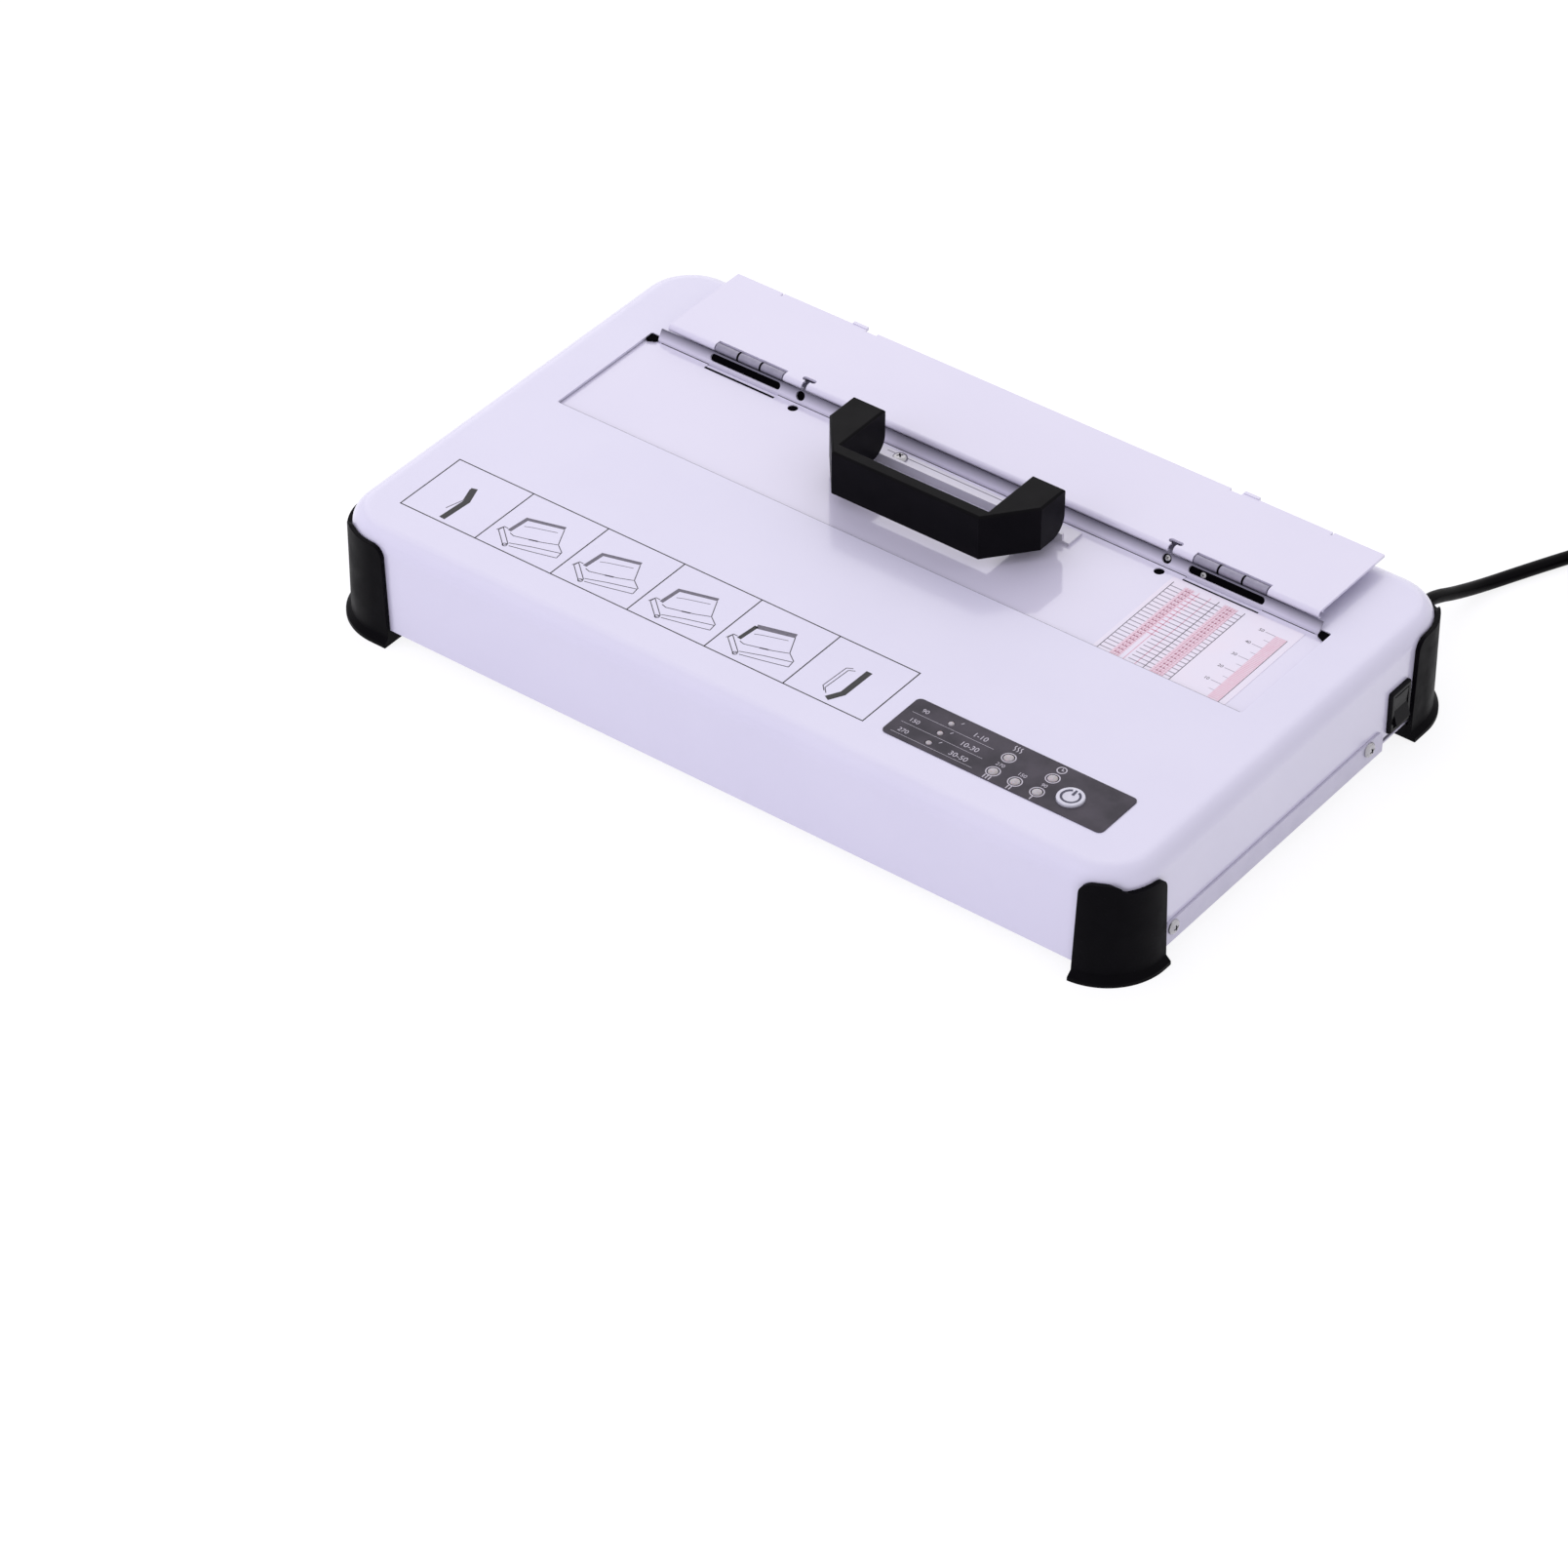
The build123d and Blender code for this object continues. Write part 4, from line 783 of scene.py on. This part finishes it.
# the drawings in its cells, in mm from the cell's corner
cellDrawing = {
    "cover": [(8.2, 12.8), (9.2, 23.6), (26.2, 28.3)],
    "lever": [(4.2, 10.6), (4.7, 13.2), (13.6, 5.3), (12.6, 3.2), (4.2, 10.6)],
    "leverTick": [(3.5, 10.2), (4.8, 13.8), (6.9, 13.7)],
    "knob": (12.9, 4.0),
    "table": [(9.6, 11.7), (12.0, 11.0), (20.2, 13.4), (24.2, 14.6), (30.6, 17.3)],
    "handle": [(18.8, 12.9), (22.6, 14.1)],
    "side": [(26.4, 27.2), (30.9, 17.5), (35.4, 14.2), (36.0, 9.9)],
    "frontTop": [(13.6, 6.0), (22.9, 9.6), (35.4, 13.5)],
    "frontLow": [(14.7, 4.4), (25.0, 6.9), (36.0, 9.9)],
    "back": [(11.4, 18.9), (14.5, 20.3), (25.4, 23.9)],
    "emptySpine": [(20.6, 2.4), (21.6, 17.8), (18.4, 26.8)],
    "emptyEdge": [(17.4, 9.0), (19.8, 17.6), (17.2, 25.4)],
    "boundSpine": [(20.0, 3.0), (23.6, 9.6), (23.9, 27.2)],
    "boundEdge": [(16.2, 6.4), (13.8, 9.0), (14.6, 23.8), (17.2, 25.2)],
    "boundSheet": [(17.8, 5.6), (15.4, 8.2), (16.2, 23.0), (18.8, 24.4)],
}


# an empty cover, four times the machine with a cover in it, and the bound cover
def makeGuideStrip():
    strip = guideStrip
    x0, x1 = strip["x"]
    y0, y1 = strip["y"]
    z, cells, line, fine = strip["z"], strip["cells"], strip["line"], strip["fineLine"]
    step = (x1 - x0) / cells
    lastX = x0 + (cells - 1) * step

    def moved(part, left):
        return [(left + x, y0 + y) for x, y in cellDrawing[part]]

    rules = [([(x0, y0), (x1, y0), (x1, y1), (x0, y1), (x0, y0 - line / 2)], line)]
    rules += [([(x0 + step * i, y0), (x0 + step * i, y1)], line) for i in range(1, cells)]
    dark = [
        (moved("emptySpine", x0), strip["spineWidth"]),
        (moved("boundSpine", lastX), strip["spineWidth"]),
    ]
    drawn = [(moved("emptyEdge", x0), fine)]
    drawn += [(moved(part, lastX), fine) for part in ("boundEdge", "boundSheet")]
    grey = []
    for cell in range(1, cells - 1):
        left = x0 + step * cell
        cover = moved("cover", left)
        if cell == cells - 2:               # the last cover is drawn thicker and darker
            dark.append((cover[:2], strip["loadedWidths"][0]))
            grey.append((cover[1:], strip["loadedWidths"][1]))
        else:
            grey.append((cover, strip["coverWidth"]))
        for part in ("lever", "leverTick", "table", "side", "frontTop", "frontLow"):
            drawn.append((moved(part, left), fine))
        drawn.append((moved("back", left), fine * strip["backShare"]))
        grey.append((moved("handle", left), strip["handleLine"]))
        knobX, knobY = cellDrawing["knob"]
        knob = (left + knobX, y0 + knobY)
        drawn.append(ringStroke(knob, strip["knobRadius"], fine, steps=strip["knobSteps"]))
    inkStrokes("guideStripRules", rules, z, "frame", inkBlack)
    inkStrokes("guideStripSpines", dark, z, "frame", inkBlack)
    inkStrokes("guideStripCovers", grey, z, "frame", inkGrey)
    inkStrokes("guideStripDrawings", drawn, z, "frame", inkFine)


bracketGrooves = {
    "x": (-44.0, 43.0), "rows": ((53.3, 0.5), (55.6, 0.35), (58.6, 0.45)), "z": 54.8,
}


# dark lines along the handle's bracket, painted shade of its grooves: (y, width) for each
def makeBracketGrooves():
    x0, x1 = bracketGrooves["x"]
    strokes = [([(x0, y), (x1, y)], width) for y, width in bracketGrooves["rows"]]
    z = bracketGrooves["z"]
    inkStrokes("bracketGrooves", strokes, z, "clamp", grooveShadePaint)


makeBracketGrooves()
makeGuideStrip()


thicknessCard = {
    "z": 53.45, "gridRight": 141.0, "gridY": (-6.0, 57.4), "rowPitch": 2.68,
    "ruleX": (105.2, 128.1, 141.0), "ruleWidth": 0.32,
    "rowX": ((105.2, 111.2), (119.6, 131.0), (137.6, 141.0)), "rowWidth": 0.5,
    "bandX": ((111.2, 116.0), (131.0, 137.6)),      # tinted columns, each with a fine red mesh
    "mesh": 0.2, "meshPitch": 1.3,
    "dashes": ((-1.2, -0.2), (0.3, 1.3)), "dashUp": 0.3, "dashWidth": 0.7,
    "hatchX": (116.0, 119.8), "hatchLow": 22.0, "hatchWidth": 0.6,
    "redX": (118.2, 124.0), "redWidth": 0.3,
    "rulerX": (159.6, 165.3), "rulerInset": 0.2, "rulerTop": 52.4, "rulerEdge": 0.26,
    "tick": (5.0, 0.3), "shortTick": (2.6, 0.22),
    "numberX": 152.6, "numberSize": 2.5, "zeroY": 2.2, "numbers": (10, 20, 30, 40, 50),
}


# a table of sheet counts and a spine ruler; each mark is one mm of the table's travel
def makeThicknessCard():
    card = thicknessCard
    z, pitch, mesh = card["z"], card["rowPitch"], card["mesh"]
    y0, y1 = card["gridY"]
    rulerX0, rulerX1 = card["rulerX"]
    black = [([(x, y0), (x, y1)], card["ruleWidth"]) for x in card["ruleX"]]
    black.append(([(rulerX1, y0), (rulerX1, card["rulerTop"])], card["rulerEdge"]))
    fine, red, tint, marks = [], [], [], []
    row = y1 - pitch
    while row > y0:
        fine += [([(low, row), (high, row)], card["rowWidth"]) for low, high in card["rowX"]]
        for low, high in card["bandX"]:
            red += [([(low, y), (high, y)], mesh) for y in (row, row + pitch / 2)]
            middle, up = (low + high) / 2, row + card["dashUp"]
            marks += [
                ([(middle + start, up), (middle + stop, up)], card["dashWidth"])
                for start, stop in card["dashes"]
            ]
        if row > card["hatchLow"]:
            red.append(([(x, row) for x in card["hatchX"]], card["hatchWidth"]))
        row -= pitch
    for low, high in card["bandX"]:
        x = low + card["meshPitch"]
        while x < high:
            red.append(([(x, y0), (x, y1)], mesh))
            x += card["meshPitch"]
    red += [([(x, y0), (x, y1)], card["redWidth"]) for x in card["redX"]]
    rulerRight = rulerX1 - card["rulerInset"]
    for low, high in card["bandX"] + ((rulerX0, rulerRight),):
        middle = (low + high) / 2
        top = y1 if low < card["gridRight"] else card["rulerTop"]
        tint.append(([(middle, y0), (middle, top)], high - low))
    for step in range(1, card["numbers"][-1] + 1):
        y = card["zeroY"] + step
        red.append(([(rulerX0, y), (rulerRight, y)], mesh))
        if step % 5 == 0:
            reach, width = card["tick"] if step % 10 == 0 else card["shortTick"]
            fine.append(([(rulerX0 - reach, y), (rulerX0, y)], width))
    inkStrokes("cardTint", tint, z, "clamp", inkPink, 0.01)
    inkStrokes("cardRedRules", red, z, "clamp", inkRed, 0.02)
    inkStrokes("cardRowRules", fine, z, "clamp", inkRow, 0.02)
    inkStrokes("cardMarks", marks, z, "clamp", inkWine, 0.03)
    inkStrokes("cardBlackRules", black, z, "clamp", inkFine, 0.03)
    for number in card["numbers"]:
        printedNumber(
            f"cardNumber{number}", str(number), (card["numberX"], card["zeroY"] + number),
            card["numberSize"], z, "clamp", inkBlack,
        )


makeThicknessCard()


controlPanel = {
    "z": 55.4,
    "dots": ((89.2, -77.6), (89.2, -85.3), (89.2, -93.0)), "dotR": 1.3,
    "ranges": ("1-10", "10-30", "30-50"), "rangeX": 14.6, "rangeSize": 3.9,
    "times": ("90", "150", "270"), "timeX": -12.8, "timeSize": 3.3,
    "ruleX": (72.0, 112.4), "ruleY": (-80.7, -88.3, -95.6), "ruleWidth": 0.16,
    "slash": ((3.4, 2.2), (4.2, 3.4)), "slashWidth": 0.35,
    "lamps": ((142.1, -92.2), (131.3, -92.2), (120.5, -92.2), (120.5, -81.4), (142.1, -81.4)),
    "lampR": 2.2, "lampTimeY": 5.0, "lampTimeSize": 2.8,
    "lampFoot": 49.0, "domeHeight": 0.5, "domeDegrees": (20, 40, 60, 78),
    "bezelOut": 0.75, "bezelWidth": 0.5,
    "barPitch": 1.4, "barY": (-3.2, -5.6), "barWidth": 0.5,
    "waveUp": 6.6, "wavePitch": 1.5, "waveSwing": 0.45, "waveHeight": 3.4, "waveWidth": 0.4,
    "clockUp": 6.4, "clockR": 2.0, "clockWidth": 0.5, "hands": (1.3, 1.0), "handWidth": 0.4,
}


# white marks: range rules, power bars, heat waves, a clock and the digits
def makePanelPrint():
    panel = controlPanel
    z = panel["z"]
    marks = [([(x, y) for x in panel["ruleX"]], panel["ruleWidth"]) for y in panel["ruleY"]]
    for dotX, dotY in panel["dots"]:
        marks.append(([(dotX + x, dotY + y) for x, y in panel["slash"]], panel["slashWidth"]))
    for (lampX, lampY), bars in zip(panel["lamps"], (1, 2, 3)):
        for i in range(bars):
            x = lampX + panel["barPitch"] * (i - (bars - 1) / 2)
            marks.append(([(x, lampY + y) for y in panel["barY"]], panel["barWidth"]))
    heatLamp, clockLamp = panel["lamps"][3:]
    high, pieces = panel["waveHeight"], 6
    low = heatLamp[1] + panel["waveUp"] - high / 2
    for i in (-1, 0, 1):
        middle = heatLamp[0] + panel["wavePitch"] * i
        wave = [
            (middle + panel["waveSwing"] * sin(2 * pi * t / pieces), low + high * t / pieces)
            for t in range(pieces + 1)
        ]
        marks.append((wave, panel["waveWidth"]))
    x, y = clockLamp[0], clockLamp[1] + panel["clockUp"]
    long, short = panel["hands"]
    marks.append(ringStroke((x, y), panel["clockR"], panel["clockWidth"]))
    marks.append(([(x, y + long), (x, y), (x + short, y)], panel["handWidth"]))
    inkStrokes("panelMarks", marks, z, "frame", inkWhite)

    def digits(name, words, place, size):
        printedNumber(name + words, words, place, size, z, "frame", inkWhite)

    for (x, y), words, time in zip(panel["dots"], panel["ranges"], panel["times"]):
        digits("panelRange", words, (x + panel["rangeX"], y), panel["rangeSize"])
        digits("panelTime", time, (x + panel["timeX"], y), panel["timeSize"])
    for (x, y), time in zip(panel["lamps"], panel["times"]):
        digits("panelLampTime", time, (x, y + panel["lampTimeY"]), panel["lampTimeSize"])


makePanelPrint()


# a turned piece: profile is rows of (radius, height) in mm, from the axis outwards
def turned(name, profile, centre, body, material, steps=40):
    work = bmesh.new()
    spun(work, profile, centre, steps)
    mesh = meshOf(work, name)
    shadeByAngle(mesh, 50)
    return meshObject(name, mesh, body, material)


# domed light pipes: big ones with a printed ring round them, and small dots
def makeLamps():
    panel = controlPanel
    foot, z, high = panel["lampFoot"], panel["z"], panel["domeHeight"]
    kinds = ((panel["lamps"], panel["lampR"]), (panel["dots"], panel["dotR"]))
    for i, (spots, radius) in enumerate(kinds):
        dome = [(0, foot), (radius, foot), (radius, z)]
        for angle in panel["domeDegrees"]:
            dome.append((radius * cos(radians(angle)), z + high * sin(radians(angle))))
        dome.append((0, z + high))
        for k, spot in enumerate(spots):
            lens = turned(f"lampLens{i}_{k}", dome, spot, "frame", lampLens)
            if i == 0 and k == 0:
                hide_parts("panel_lamps")
            if i == 0:
                ring = ringStroke(spot, radius + panel["bezelOut"], panel["bezelWidth"])
                inkStrokes(f"lampRing{k}", [ring], z, "frame", inkWhite)


# start button: silver cap with a flange and a dished face, a printed ring and stroke
startButton = {
    "place": (155.0, -87.2),
    "cap": (
        (0, 52.0), (7.6, 52.0), (7.6, 53.4), (6.0, 53.5), (6.0, 55.9), (5.85, 56.25), (5.5, 56.4),
        (4.8, 56.38), (2.4, 56.1), (0, 56.05),
    ),
    "stem": ((0, 50.5), (2.0, 50.5), (2.0, 52.0), (0, 52.0)),
    "ringR": 4.0, "ringWidth": 1.15, "ringDegrees": (112, 428),
    "strokeY": (4.6, 1.2), "strokeWidth": 1.0, "markZ": 56.24, "markThick": 0.1,
}


def makeButton():
    facts = startButton
    x, y = facts["place"]
    cap = turned(
        "startButtonCap", facts["cap"], (x, y), "button", buttonPlastic,
    )
    turned("startButtonStem", facts["stem"], (x, y), "button", buttonPlastic)
    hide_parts("start_button")
    marks = [
        ringStroke((x, y), facts["ringR"], facts["ringWidth"], *facts["ringDegrees"]),
        ([(x, y + up) for up in facts["strokeY"]], facts["strokeWidth"]),
    ]
    inkStrokes(
        "startButtonMark", marks, facts["markZ"], "button", inkNavy,
        facts["markThick"],
    )


makeLamps()
makeButton()
print("printing and panel done")


# screws: one cross-head shape in several sizes, set on points by Geometry Nodes
screwShape = {
    "steps": 32, "headR": 3.4, "rimShare": 0.35, "domeShare": 0.98, "domeDegrees": (18, 38, 58, 76),
    "slotLong": 4.0, "slotWide": 0.75, "slotDeep": 1.1, "slotTaper": 0.55,
    "shadeDepth": 0.6, "shadeReach": 0.72,
}


# a shape that is only copied from and never seen itself
def patternObject(name, mesh):
    obj = bpy.data.objects.new(name, mesh)
    scene.collection.objects.link(obj)
    obj.hide_render = True
    return obj


# a pan head with a cross recess; +Z is out of the head, z 0 is the seat
def crossHead(name, headR, headH, shankR, shankLen):
    facts = screwShape
    rim = headH * facts["rimShare"]
    profile = [(0, -shankLen), (shankR, -shankLen), (shankR, 0), (headR, 0), (headR, rim)]
    for angle in facts["domeDegrees"]:
        away = headR * cos(radians(angle)) * facts["domeShare"]
        profile.append((away, rim + (headH - rim) * sin(radians(angle))))
    profile.append((0, headH))
    work = bmesh.new()
    spun(work, profile, (0, 0), facts["steps"])
    obj = patternObject(name, meshOf(work, name))
    scale = headR / facts["headR"]
    deep = facts["slotDeep"] * scale
    for turn in (0, 90):
        work = bmesh.new()
        bmesh.ops.create_cube(work, size=1)
        for v in work.verts:
            taper = facts["slotTaper"] if v.co.z < 0 else 1.0
            v.co.x *= facts["slotLong"] * scale * mm * taper
            v.co.y *= facts["slotWide"] * scale * mm
            v.co.z = (headH + (deep if v.co.z > 0 else -deep)) * mm
        bmesh.ops.rotate(
            work, verts=work.verts, cent=(0, 0, 0), matrix=Matrix.Rotation(radians(turn), 3, "Z")
        )
        cutOut(obj, [meshOf(work, name + "Slot")])
    mesh = obj.data
    recess = mesh.attributes.new("recess", "BOOLEAN", "FACE")
    reach = facts["slotLong"] / 2 * scale * mm
    shadeFloorZ = (headH - deep * facts["shadeDepth"]) * mm
    for face in mesh.polygons:          # the walls and the floor of the cross get painted shade
        x, y, z = face.center
        away = Vector((x, y)).length
        inside = max(abs(x), abs(y)) < reach and z > 0
        near = 1e-6 < away < headR * facts["shadeReach"] * mm
        recess.data[face.index].value = inside and near and (face.normal.z < 0.5 or z < shadeFloorZ)
    shadeByAngle(mesh, 40)
    mesh.materials.clear()
    return obj


# a set rivet: low dome on a short shank
rivetShape = {
    "steps": 24,
    "profile": (
        (0, -0.8), (1.2, -0.8), (1.2, 0), (2.4, 0), (2.4, 0.25), (2.1, 0.7), (1.4, 1.05), (0, 1.2),
    ),
}


def rivetDome(name):
    work = bmesh.new()
    spun(work, rivetShape["profile"], (0, 0), rivetShape["steps"])
    mesh = meshOf(work, name)
    shadeByAngle(mesh, 50)
    return patternObject(name, mesh)


# sets the shape on each point, turned to the point's own direction
def scatterTree(name, shape, material):
    tree = bpy.data.node_groups.new(name, "GeometryNodeTree")
    tree.interface.new_socket("Geometry", in_out="INPUT", socket_type="NodeSocketGeometry")
    for label, value in (("Head size", 1.0), ("Random spin", 3.1)):
        socket = tree.interface.new_socket(label, in_out="INPUT", socket_type="NodeSocketFloat")
        socket.default_value = value
    tree.interface.new_socket("Geometry", in_out="OUTPUT", socket_type="NodeSocketGeometry")
    given = addNode(tree, "NodeGroupInput")
    result = addNode(tree, "NodeGroupOutput")
    info = addNode(tree, "GeometryNodeObjectInfo", inputs={"Object": shape})
    facing = addNode(
        tree, "GeometryNodeInputNamedAttribute", {"data_type": "FLOAT_VECTOR"}, {"Name": "facing"}
    )
    align = addNode(
        tree, "FunctionNodeAlignRotationToVector", {"axis": "Z"}, {"Vector": facing.outputs[0]}
    )
    chance = addNode(
        tree, "FunctionNodeRandomValue", {"data_type": "FLOAT"},
        {"Max": given.outputs["Random spin"], "Seed": 7},
    )
    around = addNode(tree, "ShaderNodeCombineXYZ", inputs={"Z": chance.outputs[1]})
    euler = addNode(tree, "FunctionNodeEulerToRotation", inputs={0: around.outputs[0]})
    rotate = addNode(
        tree, "FunctionNodeRotateRotation", {"rotation_space": "LOCAL"},
        {0: align.outputs[0], 1: euler.outputs[0]},
    )
    place = addNode(
        tree, "GeometryNodeInstanceOnPoints",
        inputs={
            "Points": given.outputs["Geometry"], "Instance": info.outputs["Geometry"],
            "Rotation": rotate.outputs[0], "Scale": given.outputs["Head size"],
        },
    )
    real = addNode(tree, "GeometryNodeRealizeInstances", inputs={"Geometry": place.outputs[0]})
    skin = addNode(
        tree, "GeometryNodeSetMaterial", inputs={"Geometry": real.outputs[0], "Material": material}
    )
    # the faces marked recess take a dark material: painted shade inside the cross
    dull = addNode(
        tree, "GeometryNodeInputNamedAttribute", {"data_type": "BOOLEAN"}, {"Name": "recess"}
    )
    recessShade = addNode(
        tree, "GeometryNodeSetMaterial",
        inputs={
            "Geometry": skin.outputs[0], "Selection": dull.outputs[0], "Material": recessPaintedShade,
        },
    )
    tree.links.new(recessShade.outputs[0], result.inputs["Geometry"])
    return tree


# rows is (place mm, facing); the result is one plain mesh for the body
def setScrews(name, shape, rows, body, replaced=None):
    points = bpy.data.meshes.new(name + "Points")
    points.from_pydata([Vector(place) * mm for place, _ in rows], [], [])
    facing = points.attributes.new("facing", "FLOAT_VECTOR", "POINT")
    for i, (_, direction) in enumerate(rows):
        facing.data[i].vector = direction
    holder = bpy.data.objects.new(name + "Points", points)
    scene.collection.objects.link(holder)
    modifier = holder.modifiers.new("screws", "NODES")
    modifier.node_group = scatterTree(name + "Tree", shape, nickelSteel)
    mesh = evaluatedMesh(holder)
    bpy.data.objects.remove(holder)
    mesh.name = name
    obj = meshObject(name, mesh, body, None)
    if replaced:
        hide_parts(replaced)


# each kind's head radius, head height, shank radius and shank length in mm
screwSizes = {
    "side": (3.4, 2.0, 1.5, 3.4), "foot": (3.8, 2.4, 2.0, 6.4), "bracket": (3.4, 1.9, 1.6, 4.2),
    "small": (1.45, 0.7, 0.6, 0.3),
}
screwPlaces = {
    "sideX": 206.1, "sideY": (-87.0, 55.0), "sideZ": 14.8,
    "footX": 192.0, "footY": 108.0, "footZ": 3.6,
    "bracketX": (-36.0, 31.0), "bracketY": 56.6, "bracketZ": 54.8,
    "rivetX": 126.0, "rivetHalf": 11.0, "rivetY": 78.5, "rivetZ": 55.8,
    "jaw": ((96.0, 3.2), (114.2, 2.4)), "jawDeep": 0.95,       # (x, way up the slanted band)
}


def makeScrews():
    at = screwPlaces
    sides = (-1, 1)
    shapes = {kind: crossHead(kind + "ScrewShape", *row) for kind, row in screwSizes.items()}
    shapes["rivet"] = rivetDome("rivetShape")
    rows = [((s * at["sideX"], y, at["sideZ"]), (s, 0, 0)) for s in sides for y in at["sideY"]]
    setScrews("sideScrewsDriven", shapes["side"], rows, "frame", "side_screws")
    rows = [
        ((sx * at["footX"], sy * at["footY"], at["footZ"]), (0, 0, -1))
        for sx in sides for sy in sides
    ]
    setScrews("footScrewsDriven", shapes["foot"], rows, "frame", "foot_screws")
    rows = [((x, at["bracketY"], at["bracketZ"]), (0, 0, 1)) for x in at["bracketX"]]
    setScrews("bracketScrewsDriven", shapes["bracket"], rows, "clamp", "bracket_screws")
    rows = [
        ((s * at["rivetX"] + t * at["rivetHalf"], at["rivetY"], at["rivetZ"]), (0, 0, 1))
        for s in sides for t in sides
    ]
    setScrews("hingeRivetsSet", shapes["rivet"], rows, "frame", "hinge_rivets")
    lean = radians(jawSeals["leanDegrees"])
    outwards = (0, -sin(lean), cos(lean))
    rows = [(bandPoint(x, along, at["jawDeep"]), outwards) for x, along in at["jaw"]]
    setScrews("jawScrewsDriven", shapes["small"], rows, "frame")
    for shape in shapes.values():
        bpy.data.objects.remove(shape)


makeScrews()
print("screws driven")


# floor and light
studio = {
    "floorSize": 8.0, "worldStrength": 0.72, "glow": 1.17, "glowShare": 0.72,
    "softboxPlace": (-1.33, 1.82, 1.83), "softboxRadiance": 0.5,
    "softboxSizes": (1.7, 2.4, 3.2),    # one over the other, so the light fades out at its rim
    "fillPlace": (-1.25, -2.0, 1.95), "fillSize": 2.6, "fillRadiance": 1.35,
    "softboxColor": "#fffcfd", "fillColor": "#eeeaff", "paper": "#f4f3f7", "sky": "#f3f1fb",
}


# 1 for a ray that shows the background: camera, mirror or glass
def seenRays(tree):
    rays = addNode(tree, "ShaderNodeLightPath")
    total = addNode(
        tree, "ShaderNodeMath", {"operation": "ADD"},
        {0: rays.outputs["Is Camera Ray"], 1: rays.outputs["Is Glossy Ray"]},
    )
    return addNode(
        tree, "ShaderNodeMath", {"operation": "ADD", "use_clamp": True},
        {0: total.outputs[0], 1: rays.outputs["Is Transmission Ray"]},
    ).outputs[0]


def makeStudio():
    floorMesh = bpy.data.meshes.new("studioFloor")
    h = studio["floorSize"] / 2
    floorMesh.from_pydata([(-h, -h, 0), (h, -h, 0), (h, h, 0), (-h, h, 0)], [], [(0, 1, 2, 3)])
    floor = bpy.data.objects.new("studioFloor", floorMesh)
    scene.collection.objects.link(floor)
    paint = bpy.data.materials.new("studioPaper")
    paint.use_nodes = True
    tree = paint.node_tree
    tree.nodes.clear()
    output = addNode(tree, "ShaderNodeOutputMaterial")
    paper = addNode(tree, "ShaderNodeBsdfDiffuse", inputs={"Color": hexColor(studio["paper"])})
    glow = addNode(
        tree, "ShaderNodeEmission", inputs={"Color": (1, 1, 1, 1), "Strength": studio["glow"]}
    )
    most = addNode(
        tree, "ShaderNodeMath", {"operation": "MULTIPLY"},
        {0: seenRays(tree), 1: studio["glowShare"]},
    )
    both = addNode(
        tree, "ShaderNodeMixShader",
        inputs={0: most.outputs[0], 1: paper.outputs[0], 2: glow.outputs[0]},
    )
    tree.links.new(both.outputs[0], output.inputs["Surface"])
    floorMesh.materials.append(paint)

    world = bpy.data.worlds.new("studioWorld")
    world.use_nodes = True
    tree = world.node_tree
    tree.nodes.clear()
    output = addNode(tree, "ShaderNodeOutputWorld")
    soft = addNode(
        tree, "ShaderNodeBackground",
        inputs={"Color": hexColor(studio["sky"]), "Strength": studio["worldStrength"]},
    )
    white = addNode(tree, "ShaderNodeBackground", inputs={"Color": (1, 1, 1, 1), "Strength": 1.0})
    both = addNode(
        tree, "ShaderNodeMixShader",
        inputs={0: seenRays(tree), 1: soft.outputs[0], 2: white.outputs[0]},
    )
    tree.links.new(both.outputs[0], output.inputs["Surface"])
    scene.world = world

    lights = [(f"softbox{i}", "softbox", size) for i, size in enumerate(studio["softboxSizes"])]
    lights.append(("fill", "fill", studio["fillSize"]))
    for name, kind, size in lights:
        data = bpy.data.lights.new(name, "AREA")
        data.shape = "SQUARE"
        data.size = size
        data.energy = studio[kind + "Radiance"] * pi * size * size
        data.color = hexColor(studio[kind + "Color"])[:3]
        lamp = bpy.data.objects.new(name, data)
        scene.collection.objects.link(lamp)
        place = Vector(studio[kind + "Place"])
        turn = place.to_track_quat("Z", "Y").to_matrix().to_4x4()      # faces the origin
        lamp.matrix_world = Matrix.Translation(place) @ turn
        lamp.visible_glossy = kind != "fill"


makeStudio()
scene.view_settings.view_transform = "Standard"
print("studio lit")
